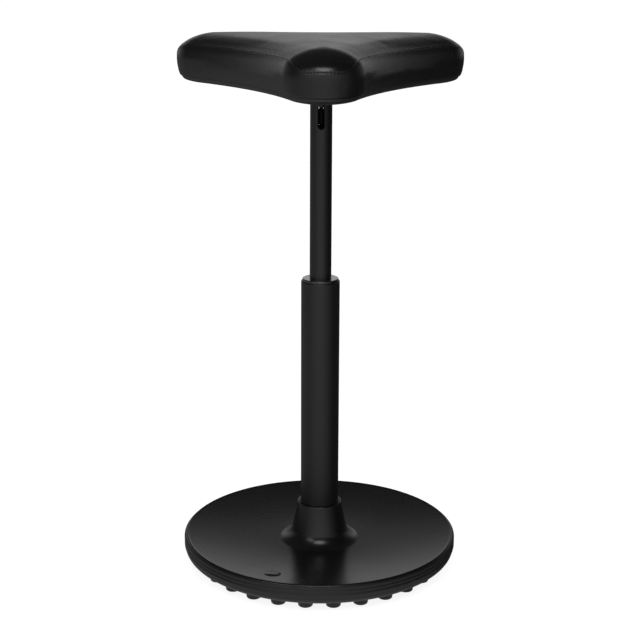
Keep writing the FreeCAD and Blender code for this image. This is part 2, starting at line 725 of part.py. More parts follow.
def make_bearing():
    """End plate, thrust races, cage and balls at the tube's foot."""
    plate_r = tube_bore_r - taper_loss(size.tube_foot_z) - size.fit_gap
    finished(
        ring("end_plate", plate_r, race_bore_r, size.end_plate_t, size.tube_foot_z),
        "tube_end_plate",
    )
    finished(
        ring("race_low", size.race_d / 2, race_bore_r, size.race_t, race_low_z),
        "thrust_race_lower",
    )
    ball_r = size.bearing_ball_d / 2
    centre_z = ball_foot_z + ball_r
    cage_z = centre_z - size.cage_t / 2
    pockets = []
    balls = []
    for index, angle in enumerate(around(size.ball_count.number)):
        x, y = on_ring(size.ball_ring_d / 2, angle)
        height = size.cage_t + 2 * BORE_OVERRUN
        pocket_r = ball_r + size.cage_play
        pockets.append(cylinder("pocket_%d" % index, pocket_r, height, x, y, cage_z - BORE_OVERRUN))
        ball = document.addObject("Part::Sphere", "ball_%d" % index)
        bind(ball, Radius=ball_r)
        balls.append(place(ball, x, y, centre_z))
    cage = ring("cage_ring", size.race_d / 2 - size.race_play, race_bore_r, size.cage_t, cage_z)
    finished(cut("cage_cut", cage, *pockets), "ball_cage")
    finished(group("ball_set", balls), "bearing_balls")
    finished(
        ring("race_high", size.race_d / 2, race_bore_r, size.race_t, race_high_z),
        "thrust_race_upper",
    )
    finished(
        ring("stop", size.stop_d / 2, size.rod_d / 2 + size.fit_gap, size.stop_t, rod_shoulder_z),
        "bump_stop",
    )


def make_rod():
    """Piston rod with its necks, washer, clip, piston, seal and nut."""
    neck = size.rod_neck_d / 2
    groove = size.clip_groove_d / 2
    rod_foot_z = clip_z - size.rod_tip
    piston_top_z = size.piston_z + size.piston_t
    turned(
        "piston_rod",
        [
            (0.0, rod_foot_z),
            (neck, rod_foot_z),
            (neck, clip_z),
            (groove, clip_z),
            (groove, rod_washer_z),
            (neck, rod_washer_z),
            (neck, rod_shoulder_z),
            (size.rod_d / 2, rod_shoulder_z),
            (size.rod_d / 2, size.piston_z),
            (neck, size.piston_z),
            (neck, piston_top_z + size.nut_t + BORE_OVERRUN),
            (0.0, piston_top_z + size.nut_t + BORE_OVERRUN),
        ],
    )
    finished(
        ring("washer", size.rod_washer_d / 2, neck + size.fit_gap, size.rod_washer_t, rod_washer_z),
        "rod_washer",
    )
    clip = ring("clip_ring", size.clip_d / 2, groove + size.fit_gap, size.clip_t, clip_z)
    mouth = box("clip_gap", size.clip_mouth, size.clip_d, size.clip_t, -size.clip_mouth / 2, 0.0, clip_z)
    finished(cut("clip_cut", clip, mouth), "retaining_clip")
    piston_r = size.cylinder_d / 2 - size.cylinder_wall - size.piston_play
    groove_z = size.piston_z + (size.piston_t - size.seal_w) / 2
    turned(
        "piston",
        [
            (neck, size.piston_z),
            (piston_r, size.piston_z),
            (piston_r, groove_z),
            (piston_r - size.seal_depth, groove_z),
            (piston_r - size.seal_depth, groove_z + size.seal_w),
            (piston_r, groove_z + size.seal_w),
            (piston_r, piston_top_z),
            (neck, piston_top_z),
        ],
    )
    finished(ring("seal", piston_r, piston_r - size.seal_depth, size.seal_w, groove_z), "piston_seal")
    nut = document.addObject("Part::Prism", "nut_blank")
    nut.Polygon = 6
    bind(nut, Circumradius=size.nut_d / 2 / round(math.cos(math.pi / 6), 9), Height=size.nut_t)
    place(nut, z=piston_top_z)
    bore = cylinder("nut_bore", neck, size.nut_t + 2 * BORE_OVERRUN, z=piston_top_z - BORE_OVERRUN)
    finished(cut("nut_cut", nut, bore), "piston_nut")


def make_guide_bush():
    """Plastic bush that guides the lift tube, with a collar on the standing tube's top."""
    outer = tube_bore_r - size.fit_gap
    bore = size.lift_d / 2 + size.lift_play
    collar = size.bush_collar_d / 2
    top = size.tube_top_z + size.bush_collar_t
    turned(
        "guide_bush",
        [
            (bore, size.tube_top_z - size.bush_len),
            (outer, size.tube_top_z - size.bush_len),
            (outer, size.tube_top_z),
            (collar, size.tube_top_z),
            (collar, top - size.bush_edge, size.bush_edge),
            (collar - size.bush_edge, top),
            (bore, top),
        ],
    )


# Lift: lift tube, gas cylinder and its valve.

lift_r = size.lift_d / 2
lift_bore_r = lift_r - size.lift_wall
push_top_z = size.lever_z - size.lever_nose - size.nose_gap


def slot_outline(half_width, y):
    """Upright slot outline in the plane at y, round at its foot."""
    centre_z = size.slot_foot_z.number + size.slot_w.number / 2
    top_z = size.slot_top_z.number
    foot_left = Vector(-half_width, y, centre_z)
    foot_right = Vector(half_width, y, centre_z)
    top_right = Vector(half_width, y, top_z)
    top_left = Vector(-half_width, y, top_z)
    round_foot = Part.Arc(foot_left, Vector(0, y, centre_z - half_width), foot_right)
    return Part.Wire([
        round_foot.toShape(),
        Part.makeLine(foot_right, top_right),
        Part.makeLine(top_right, top_left),
        Part.makeLine(top_left, foot_left),
    ])


def make_lift_tube():
    """Lift tube with two opposite bevelled slots for the lever and a rolled lip at its foot."""
    body = new_body("lift_blank")
    groove_r = lift_bore_r + size.head_clip_depth
    corners = [
        (lift_bore_r - size.lift_lip_w, size.lift_foot_z),
        (lift_r, size.lift_foot_z),
        (lift_r, size.hub_top_z),
        (lift_bore_r, size.hub_top_z),
        (lift_bore_r, size.head_top_z + size.head_clip_t),
        (groove_r, size.head_top_z + size.head_clip_t),
        (groove_r, size.head_top_z),
        (lift_bore_r, size.head_top_z),
        (lift_bore_r, size.gland_z),
        (lift_bore_r - size.lift_lip_w, size.gland_z),
    ]
    revolve(body, profile(body, "lift_outline", "XZ_Plane", corners), "lift_turning")
    half = size.slot_w.number / 2
    wide = half + size.slot_bevel.number
    outer = lift_r.number
    past = outer + BORE_OVERRUN
    through = Part.makeLoft([slot_outline(half, -past), slot_outline(half, past)], True, True)
    bevels = []
    for side in (-1, 1):
        edge = slot_outline(wide, side * outer)
        root = slot_outline(half, side * (outer - size.slot_bevel.number))
        bevels.append(Part.makeLoft([root, edge], True, True))
    cutter = document.addObject("Part::Feature", "slot_cutter")
    cutter.Shape = through.fuse(bevels)
    document.recompute()
    finished(cut("lift_cut", body, cutter), "lift_tube")


def make_cylinder():
    """Gas cylinder with its gland and seal below and its valve head above."""
    rod_clear = size.rod_d / 2 + size.gland_play
    bore = size.cylinder_d / 2 - size.cylinder_wall
    finished(ring("gland", lift_bore_r - size.fit_gap, rod_clear, size.gland_t, size.gland_z), "rod_gland")
    finished(
        ring("lip_seal", bore - size.fit_gap, rod_clear, size.gland_seal_t, size.cylinder_foot_z),
        "gland_seal",
    )
    length = size.cylinder_top_z - size.cylinder_foot_z
    finished(ring("barrel", size.cylinder_d / 2, bore, length, size.cylinder_foot_z), "gas_cylinder")
    pin_clear = size.valve_d / 2 + size.valve_play
    head_r = lift_bore_r - size.fit_gap
    spigot_z = size.cylinder_top_z - size.head_spigot
    shoulder_r = bore - size.fit_gap
    rise = size.dome_rise
    flat = size.dome_r - pin_clear
    dome = flat.number * flat.number / (2 * rise.number) + rise.number / 2
    turned(
        "cylinder_head",
        [
            (pin_clear, spigot_z),
            (shoulder_r, spigot_z),
            (shoulder_r, size.cylinder_top_z),
            (head_r, size.cylinder_top_z),
            (head_r, size.head_top_z),
            (size.dome_r, size.head_top_z, dome),
            (pin_clear, size.head_top_z + rise),
        ],
    )
    groove_r = lift_bore_r + size.head_clip_depth - size.fit_gap
    finished(
        ring("snap_ring", groove_r, lift_bore_r - size.head_clip_w, size.head_clip_t, size.head_top_z),
        "head_ring",
    )


def make_valve():
    """Valve pin and the release rod that stands on it."""
    pin_top_z = size.push_rod_z + size.push_cup
    finished(
        cylinder("pin", size.valve_d / 2, pin_top_z - size.valve_foot_z, z=size.valve_foot_z),
        "valve_pin",
    )
    rod = cylinder("push_rod", size.push_rod_d / 2, push_top_z - size.push_rod_z, z=size.push_rod_z)
    cup = cylinder(
        "push_rod_cup", size.valve_d / 2, size.push_cup + BORE_OVERRUN, z=size.push_rod_z - BORE_OVERRUN
    )
    finished(cut("push_rod_cut", rod, cup), "release_rod")


# Under the seat: plate, hub, lever and its bracket.

def make_seat_plate():
    """Round steel plate with its ring of bolt holes."""
    blank = cylinder("seat_plate_blank", size.seat_plate_d / 2, size.seat_plate_t, z=size.hub_top_z)
    holes = []
    height = size.seat_plate_t + 2 * BORE_OVERRUN
    hole_r = size.bolt_d / 2 + size.bolt_play
    for index, (x, y) in enumerate(bolt_places()):
        hole = cylinder("seat_plate_hole_%d" % index, hole_r, height, x, y, size.hub_top_z - BORE_OVERRUN)
        holes.append(hole)
    finished(cut("seat_plate_cut", blank, *holes), "seat_plate")
    finished(
        ring("hub", size.hub_d / 2, lift_r + size.fit_gap, size.hub_len, size.hub_top_z - size.hub_len),
        "hub_collar",
    )


def bolt_places():
    """X and Y of each bolt through the seat plate."""
    half_step = 180.0 / size.bolt_count.number
    return [on_ring(size.bolt_ring_r, angle) for angle in around(size.bolt_count.number, half_step)]


def make_bracket():
    """Two ears welded under the seat plate, with the lever's pin through them."""
    ears = []
    ear_in = size.lever_t / 2 + size.ear_gap
    round_r = size.ear_w / 2
    for name, x in (("left", -(ear_in + size.ear_t)), ("right", ear_in)):
        strap = box(
            "ear_%s" % name, size.ear_t, size.ear_w, size.hub_top_z - size.lever_z,
            x, size.lever_arm - round_r, size.lever_z,
        )
        foot = document.addObject("Part::Cylinder", "ear_%s_foot" % name)
        foot.Placement = FreeCAD.Placement(Vector(0, 0, 0), Rotation(Vector(0, 1, 0), 90))
        bind(foot, Radius=round_r, Height=size.ear_t)
        place(foot, x, size.lever_arm, size.lever_z)
        ears.append(fuse("ear_%s_blank" % name, strap, foot))
    span = (ear_in + size.ear_t) * 2
    bore_len = span + 2 * BORE_OVERRUN
    bore = cross_cylinder("ear_bore", size.pin_d / 2, bore_len, size.lever_arm, size.lever_z)
    finished(cut("ears_cut", group("ears", ears), bore), "lever_bracket")
    stem = cross_cylinder("pin_stem", size.pin_d / 2, span, size.lever_arm, size.lever_z)
    heads = []
    for name, x in (("left", -(span / 2 + size.pin_head_t)), ("right", span / 2)):
        head = document.addObject("Part::Cylinder", "pin_head_%s" % name)
        head.Placement = FreeCAD.Placement(Vector(0, 0, 0), Rotation(Vector(0, 1, 0), 90))
        bind(head, Radius=size.pin_head_d / 2, Height=size.pin_head_t)
        heads.append(place(head, x, size.lever_arm, size.lever_z))
    finished(fuse("pin_fuse", stem, *heads), "lever_pin")


def make_lever():
    """Flat lever: a round nose over the release rod, a step down, and a straight tail."""
    body = new_body("lever_blank")
    nose = size.lever_nose
    low = size.lever_z - size.lever_depth / 2
    high = size.lever_z + size.lever_depth / 2
    tail_z = size.lever_z - size.lever_drop
    tail_low = tail_z - size.lever_tail / 2
    tail_high = tail_z + size.lever_tail / 2
    web_y = size.lever_arm - size.lever_depth / 2
    corners = [
        (0.0, size.lever_z - nose),
        (nose * 2, size.lever_z - nose),
        (web_y, low),
        (size.lever_knee_y, low),
        (size.lever_heel_y, tail_low),
        (size.lever_end_y, tail_low),
        (size.lever_end_y, tail_high),
        (size.lever_heel_y, tail_high),
        (size.lever_knee_y, high),
        (web_y, high),
        (0.0, size.lever_z + nose, nose),
        (-nose, size.lever_z, nose),
    ]
    outline = profile(body, "lever_outline", "YZ_Plane", corners)
    plate = body.newObject("PartDesign::Pad", "lever_pad")
    plate.Profile = outline
    plate.SideType = "Symmetric"
    bind(plate, Length=size.lever_t)
    bore_r = size.pin_d / 2 + size.pin_play
    bore_len = size.lever_t + 2 * BORE_OVERRUN
    bore = cross_cylinder("lever_bore", bore_r, bore_len, size.lever_arm, size.lever_z)
    finished(cut("lever_cut", body, bore), "release_lever")
    grip_end = size.lever_end_y + size.grip_wall
    block = box(
        "grip_block", size.grip_w, size.grip_len, size.grip_t,
        -size.grip_w / 2, grip_end - size.grip_len, tail_z - size.grip_t / 2,
    )
    document.recompute()
    soft = document.addObject("Part::Fillet", "grip_soft")
    soft.Base = block
    soft.Edges = [(edge + 1, size.grip_round.number, size.grip_round.number) for edge in range(12)]
    pocket = box(
        "grip_pocket", size.lever_t, size.grip_len - size.grip_wall, size.lever_tail,
        -size.lever_t / 2, grip_end - size.grip_len, tail_low,
    )
    finished(cut("grip_cut", soft, pocket), "lever_grip")


# Seat: three-lobed board, foam, cover and shell.

def lobed_outline(inset, z):
    """Three-lobed outline, drawn in by inset: round lobe ends joined by hollow sides."""
    tip_r = size.lobe_bend.number
    lobe_r = size.lobe_tip_r.number - tip_r
    waist = size.waist_r.number
    half_step = math.radians(LOBE_STEP / 2)
    gap = waist - lobe_r * math.cos(half_step)
    reach = lobe_r * math.sin(half_step)
    hollow = (gap * gap + reach * reach - tip_r * tip_r) / (2 * (tip_r - gap))
    end_r = tip_r - inset
    edges = []
    for step in range(LOBES):
        turn = NOSE_ANGLE + LOBE_STEP * step
        lobe = polar(lobe_r, turn)
        before = polar(waist + hollow, turn - LOBE_STEP / 2)
        after = polar(waist + hollow, turn + LOBE_STEP / 2)
        start = lobe + (before - lobe).normalize() * end_r
        end = lobe + (after - lobe).normalize() * end_r
        next_lobe = polar(lobe_r, turn + LOBE_STEP)
        next_start = next_lobe + (after - next_lobe).normalize() * end_r
        middle = polar(waist - inset, turn + LOBE_STEP / 2)
        edges.append(Part.Arc(start, lobe + polar(end_r, turn), end).toShape())
        edges.append(Part.Arc(end, middle, next_start).toShape())
    wire = Part.Wire(edges)
    wire.translate(Vector(0, 0, z))
    return wire


def polar(radius, angle):
    """A point on a circle round the column, by its angle in degrees."""
    turn = math.radians(angle)
    return Vector(radius * math.cos(turn), radius * math.sin(turn), 0)


def lofted(levels):
    """A smooth solid through three-lobed outlines given as (inset, height)."""
    return Part.makeLoft([lobed_outline(inset, z) for inset, z in levels], True, False)


def cushion(skin, foot_z):
    """The padded form, skin millimetres inside its outer face: swelling side, soft crown."""
    shoulder_z = size.shoulder_z.number
    shoulder_inset = size.shoulder_pull.number + skin
    bulge = size.side_bulge.number
    rise = shoulder_z - foot_z
    side = [(size.foot_pull.number + skin, foot_z)]
    side += [(skin - bulge * swell, foot_z + rise * up) for up, swell in SIDE_LEVELS]
    side.append((shoulder_inset, shoulder_z))
    crown_rise = size.crown_rise.number - skin
    crown_round = size.crown_round.number - skin
    crown = [
        (shoulder_inset + crown_round * inward, shoulder_z + crown_rise * up) for up, inward in CROWN_LEVELS
    ]
    return lofted(side).fuse(lofted(crown)).removeSplitter()


def solid_feature(name, shape):
    """A formed shape as an object of the document."""
    piece = document.addObject("Part::Feature", name)
    piece.Shape = shape
    return piece


def make_seat():
    """Board, foam, cover, bolts and tee nuts."""
    foot_z = size.seat_foot_z.number
    skin = size.skin_t.number
    board_z = size.seat_foot_z + size.skin_t
    board_t = size.board_t.number
    inset = size.board_inset.number
    blank = lobed_prism(inset, board_z.number, board_t)
    outer = cushion(0.0, foot_z)
    inner = cushion(skin, foot_z + skin)
    mouth = lobed_prism(size.skin_fold.number, foot_z - BORE_OVERRUN, skin + 2 * BORE_OVERRUN)
    finished(solid_feature("cover_skin", outer.cut([inner, mouth])), "seat_cover")
    finished(solid_feature("foam_pad", inner.cut(blank)), "seat_foam")
    holes = []
    bolts = []
    nuts = []
    bolt_r = size.bolt_d / 2
    board_top = board_z + size.board_t
    flange_z = board_top - size.tee_flange_t
    barrel_z = flange_z - size.tee_barrel_len
    reach = size.board_t + 2 * BORE_OVERRUN
    sink = size.tee_flange_t + BORE_OVERRUN
    under_z = board_z - BORE_OVERRUN
    head_z = size.hub_top_z - size.bolt_head_t
    stem_len = board_top - size.tee_flange_t - size.hub_top_z
    barrel_r = size.tee_barrel_d / 2
    flange_r = size.tee_flange_d / 2
    bore_len = size.tee_barrel_len + BORE_OVERRUN
    for index, (x, y) in enumerate(bolt_places()):
        holes.append(cylinder("board_hole_%d" % index, barrel_r, reach, x, y, under_z))
        holes.append(cylinder("board_sink_%d" % index, flange_r, sink, x, y, flange_z))
        head = cylinder("bolt_head_%d" % index, size.bolt_head_d / 2, size.bolt_head_t, x, y, head_z)
        stem = cylinder("bolt_stem_%d" % index, bolt_r, stem_len, x, y, size.hub_top_z)
        bolts.append(fuse("plate_bolt_%d" % index, head, stem))
        flange = cylinder("tee_flange_%d" % index, flange_r, size.tee_flange_t, x, y, flange_z)
        barrel = cylinder("tee_barrel_%d" % index, barrel_r, size.tee_barrel_len, x, y, barrel_z)
        bore = cylinder("tee_bore_%d" % index, bolt_r, bore_len, x, y, barrel_z - BORE_OVERRUN)
        nuts.append(cut("tee_nut_%d" % index, fuse("tee_blank_%d" % index, flange, barrel), bore))
    depth = size.shell_screw_len - (boss_top_gap() + BORE_OVERRUN)
    for index, (x, y) in enumerate(shell_screw_places()):
        holes.append(cylinder("board_pilot_%d" % index, size.shell_screw_d / 2, depth, x, y, under_z))
    board = solid_feature("board_blank", blank)
    finished(cut("board_cut", board, *holes), "seat_board")
    finished(group("bolt_set", bolts), "plate_bolts")
    finished(group("nut_set", nuts), "tee_nuts")


def lobed_prism(inset, z, height):
    """A flat three-lobed plate."""
    return Part.Face(lobed_outline(inset, z)).extrude(Vector(0, 0, height))


def shell_screw_places():
    """X and Y of the screw in each lobe."""
    return [on_ring(size.shell_boss_r, angle) for angle in around(LOBES, NOSE_ANGLE)]


def boss_top_gap():
    """Height of a shell screw's seat below the board."""
    return size.skin_t + size.shell_gap + size.shell_depth - size.shell_recess_len - BORE_OVERRUN


def make_shell():
    """Moulded tray under the seat, with a keyhole for hub and lever and a boss in each lobe."""
    rim_z = size.seat_foot_z.number - size.shell_gap.number
    wall = size.shell_t.number
    rim = size.shell_rim_inset.number
    inward = size.shell_floor_inset.number - rim
    depth = size.shell_depth.number
    outer = [(rim + inward * draw, rim_z - depth * down) for down, draw in TRAY_LEVELS]
    inner = [(rim + wall + inward * draw, rim_z - (depth - wall) * down) for down, draw in TRAY_LEVELS]
    tray = solid_feature("shell_tray", lofted(outer).cut(lofted(inner)))
    seat = size.seat_foot_z - size.shell_gap - size.shell_depth
    bosses = []
    holes = []
    screws = []
    recess_top = seat + size.shell_recess_len
    board_z = size.seat_foot_z + size.skin_t
    under_z = seat - BORE_OVERRUN
    recess = size.shell_recess_len + BORE_OVERRUN
    through = board_z - seat + BORE_OVERRUN
    screw_r = size.shell_screw_d / 2
    head_z = recess_top - size.shell_head_t
    stem_len = size.shell_screw_len - BORE_OVERRUN
    for index, (x, y) in enumerate(shell_screw_places()):
        bosses.append(cylinder("shell_boss_%d" % index, size.shell_boss_d / 2, board_z - seat, x, y, seat))
        holes.append(cylinder("shell_recess_%d" % index, size.shell_recess_d / 2, recess, x, y, under_z))
        holes.append(cylinder("shell_hole_%d" % index, screw_r, through, x, y, seat))
        head = cylinder("shell_head_%d" % index, size.shell_head_d / 2, size.shell_head_t, x, y, head_z)
        stem = cylinder("shell_stem_%d" % index, screw_r, stem_len, x, y, recess_top)
        screws.append(fuse("shell_screw_%d" % index, head, stem))
    keyhole_r = size.hub_d / 2 + size.shell_hub_play
    half = size.lever_t / 2 + size.ear_gap + size.ear_t + size.pin_head_t + size.shell_hub_play
    span = size.lever_arm + size.ear_w / 2 + size.shell_hub_play
    cut_depth = size.shell_t + 2 * BORE_OVERRUN
    holes.append(cylinder("keyhole", keyhole_r, cut_depth, z=under_z))
    holes.append(box("keyhole_side", half * 2, span, cut_depth, -half, 0.0, under_z))
    finished(cut("shell_cut", fuse("shell_blank", tray, *bosses), *holes), "seat_shell")
    finished(group("shell_screw_set", screws), "shell_screws")


make_sole()
make_centre_pad()
make_base_plate()
make_socket()
make_dish_cover()
make_base_screws()
make_stand_tube()
make_bearing()
make_rod()
make_guide_bush()
make_lift_tube()
make_cylinder()
make_valve()
make_seat_plate()
make_bracket()
make_lever()
make_seat()
make_shell()
document.recompute()

for item in document.Objects:
    faults = [state for state in item.State if state in ("Invalid", "Error")]
    if faults:
        raise RuntimeError("%s (%s) failed: %s" % (item.Label, item.Name, faults))
for piece in parts:
    if piece.Shape.isNull() or not piece.Shape.isValid() or not piece.Shape.Solids:
        raise RuntimeError("%s has no valid solid" % piece.Label)

os.makedirs("parts", exist_ok=True)
for piece in parts:
    shape = piece.Shape
    shape.exportStep(os.path.join("parts", piece.Label + ".step"))
    print("%-20s solids %2d volume %.1f cm3" % (piece.Label, len(shape.Solids), shape.Volume / 1000))
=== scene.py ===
import json
import logging
import math
from dataclasses import dataclass
from enum import Enum

import bmesh
import bpy
import numpy as np
from mathutils import Euler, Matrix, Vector
from mathutils.kdtree import KDTree

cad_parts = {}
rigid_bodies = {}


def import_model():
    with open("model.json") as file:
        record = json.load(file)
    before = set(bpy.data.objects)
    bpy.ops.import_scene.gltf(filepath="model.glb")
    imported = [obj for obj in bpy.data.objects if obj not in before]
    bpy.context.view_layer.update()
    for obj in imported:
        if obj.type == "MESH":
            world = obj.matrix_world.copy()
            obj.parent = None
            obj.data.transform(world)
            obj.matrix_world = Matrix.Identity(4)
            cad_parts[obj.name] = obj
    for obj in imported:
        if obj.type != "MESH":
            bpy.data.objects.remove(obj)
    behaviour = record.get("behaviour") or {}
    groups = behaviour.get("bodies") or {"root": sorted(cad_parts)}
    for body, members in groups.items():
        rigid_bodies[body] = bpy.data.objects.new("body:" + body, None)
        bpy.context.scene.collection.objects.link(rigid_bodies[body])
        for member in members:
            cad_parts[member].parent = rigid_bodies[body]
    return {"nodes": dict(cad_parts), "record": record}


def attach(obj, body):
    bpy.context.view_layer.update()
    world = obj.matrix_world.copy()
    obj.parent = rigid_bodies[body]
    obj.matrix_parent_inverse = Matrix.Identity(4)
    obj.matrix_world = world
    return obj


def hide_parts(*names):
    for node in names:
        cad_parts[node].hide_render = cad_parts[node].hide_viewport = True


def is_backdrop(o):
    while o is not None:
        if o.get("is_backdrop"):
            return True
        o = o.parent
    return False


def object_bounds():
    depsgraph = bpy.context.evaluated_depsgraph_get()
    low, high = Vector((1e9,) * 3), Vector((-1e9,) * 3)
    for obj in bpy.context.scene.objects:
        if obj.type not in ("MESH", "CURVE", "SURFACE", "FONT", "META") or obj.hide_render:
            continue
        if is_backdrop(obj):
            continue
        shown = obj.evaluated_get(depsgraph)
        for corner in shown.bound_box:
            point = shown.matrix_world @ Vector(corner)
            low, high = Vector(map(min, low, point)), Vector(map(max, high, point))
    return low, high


LOG = logging.getLogger("perch_stool")
MM = 0.001
RAIL = 100 * MM
LOBES = 3
NOSE_TURN = -math.pi / 2
LOBE_STEP = 2 * math.pi / LOBES
MERGE = 0.001 * MM
STITCH_GAP = 4.0


def clear_scene() -> None:
    """Remove what a new Blender file holds, so that only the stool is in the scene."""
    for item in list(bpy.data.objects):
        bpy.data.objects.remove(item)


clear_scene()
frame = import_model()
CAD_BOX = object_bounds()


class Body(Enum):
    """The moving bodies of the stool that scene pieces ride on."""

    STAND = "stand"
    LIFT = "lift"


class Joining(Enum):
    """What a tool does to the solid it meets."""

    ADD = "UNION"
    CUT = "DIFFERENCE"


class Slot(Enum):
    """The record's material slots that scene pieces take their finish from."""

    LEATHERETTE = "leatherette"
    SOLE_RUBBER = "sole_rubber"
    BASE_PLASTIC = "base_plastic"
    SEAT_SHELL = "seat_shell_plastic"


def linear(colour: str) -> tuple[float, float, float, float]:
    """Turn an sRGB hex colour into the linear values that Blender's sockets take.

    Args:
        colour: A colour such as "#1c1c1e".

    Returns:
        Linear red, green and blue, and an alpha of 1.
    """
    parts = []
    for start in (1, 3, 5):
        share = int(colour[start:start + 2], 16) / 255
        parts.append(share / 12.92 if share <= 0.04045 else ((share + 0.055) / 1.055) ** 2.4)
    return (parts[0], parts[1], parts[2], 1.0)


def add_node(
    tree: bpy.types.NodeTree, kind: str, inputs: dict | None = None, **settings: object
) -> bpy.types.Node:
    """Add a node to a tree, with its settings, values and links.

    A Mix node's inputs go by number, because its A and B repeat for each data type: 2 and 3 take
    numbers, 4 and 5 vectors, 6 and 7 colours.

    Args:
        tree: The tree to add to.
        kind: Blender's name of the node type.
        inputs: A value or an output socket for each input, by its name or number.
        **settings: Properties of the node itself.

    Returns:
        The new node.
    """
    node = tree.nodes.new(kind)
    for name, value in settings.items():
        setattr(node, name, value)
    for key, value in (inputs or {}).items():
        if isinstance(value, bpy.types.NodeSocket):
            tree.links.new(value, node.inputs[key])
        else:
            node.inputs[key].default_value = value
    return node


class Surface:
    """One material in the making: its tree, its shader, and Object coordinates in metres."""

    def __init__(self, name: str) -> None:
        """Start the material.

        Args:
            name: Its name.
        """
        self.material = bpy.data.materials.new(name)
        self.material.use_nodes = True
        self.tree = self.material.node_tree
        self.shader = self.tree.nodes["Principled BSDF"]
        self.place = self.add("ShaderNodeTexCoord").outputs["Object"]

    def add(self, kind: str, inputs: dict | None = None, **settings: object) -> bpy.types.Node:
        """Add a node to this material."""
        return add_node(self.tree, kind, inputs, **settings)

    def feed(self, name: str, pattern: bpy.types.NodeSocket) -> None:
        """Link a pattern to an input of the shader."""
        self.tree.links.new(pattern, self.shader.inputs[name])

    def clouds(self, size: float, low: float, high: float, detail: float = 3.0) -> bpy.types.NodeSocket:
        """Lay soft random patches over the surface.

        Args:
            size: Size of a patch in millimetres.
            low: Value where a patch is dark.
            high: Value where it is bright.
            detail: Finer steps inside the patches.

        Returns:
            The value of the patches.
        """
        patches = {"Vector": self.place, "Scale": per_metre(size), "Detail": detail}
        noise = self.add("ShaderNodeTexNoise", patches).outputs["Fac"]
        limits = {"Value": noise, "From Min": 0.3, "From Max": 0.7, "To Min": low, "To Max": high}
        return self.add("ShaderNodeMapRange", limits).outputs["Result"]

    def emboss(self, height: bpy.types.NodeSocket, depth: float) -> None:
        """Press a relief into the surface, on top of any that it has.

        Args:
            height: Relief from 0 to 1.
            depth: Its depth in millimetres.
        """
        bump = self.add("ShaderNodeBump", {"Height": height, "Distance": depth * MM, "Strength": 1.0})
        for earlier in self.shader.inputs["Normal"].links:
            self.tree.links.new(earlier.from_socket, bump.inputs["Normal"])
        self.feed("Normal", bump.outputs["Normal"])

    def grain(self, size: float, depth: float, detail: float = 3.0) -> None:
        """Roughen the surface with a random grain.

        Args:
            size: Size of a grain in millimetres.
            depth: Its depth in millimetres.
            detail: Finer steps of the grain.
        """
        specks = {"Vector": self.place, "Scale": per_metre(size), "Detail": detail}
        self.emboss(self.add("ShaderNodeTexNoise", specks).outputs["Fac"], depth)

    def tint(self, share: bpy.types.NodeSocket, colour: str, other: str) -> None:
        """Blend two colours over the surface.

        Args:
            share: Share of the second colour.
            colour: First colour.
            other: Second colour.
        """
        mixed = {0: share, 6: linear(colour), 7: linear(other)}
        self.feed("Base Color", self.add("ShaderNodeMix", mixed, data_type="RGBA").outputs[2])


def per_metre(size: float) -> float:
    """Turn a real size in millimetres into the Scale of a texture."""
    return 1 / (size * MM)


@dataclass(frozen=True)
class Finish:
    """A plain smooth surface; the finishes below add what their own making leaves on it."""

    name: str
    colour: str
    roughness: float
    metallic: float = 0.0
    coat: float = 0.0

    def build(self) -> bpy.types.Material:
        """Make the material, with its even values on the shader's own sockets.

        Returns:
            The node-based material.
        """
        surface = Surface(self.name)
        even = {"Base Color": linear(self.colour), "Roughness": self.roughness}
        even |= {"Metallic": self.metallic, "Coat Weight": self.coat}
        for name, value in even.items():
            surface.shader.inputs[name].default_value = value
        self.dress(surface)
        return surface.material

    def dress(self, surface: Surface) -> None:
        """Add the marks of making; a plain surface has none."""

    def uneven_gloss(self, surface: Surface, size: float, down: float, up: float, detail: float) -> None:
        """Let the gloss drift in patches round the finish's own roughness.

        Args:
            surface: The material in the making.
            size: Size of a patch in millimetres.
            down: How much smoother a patch may be.
            up: How much rougher it may be.
            detail: Finer steps inside the patches.
        """
        surface.feed("Roughness", surface.clouds(size, self.roughness - down, self.roughness + up, detail))


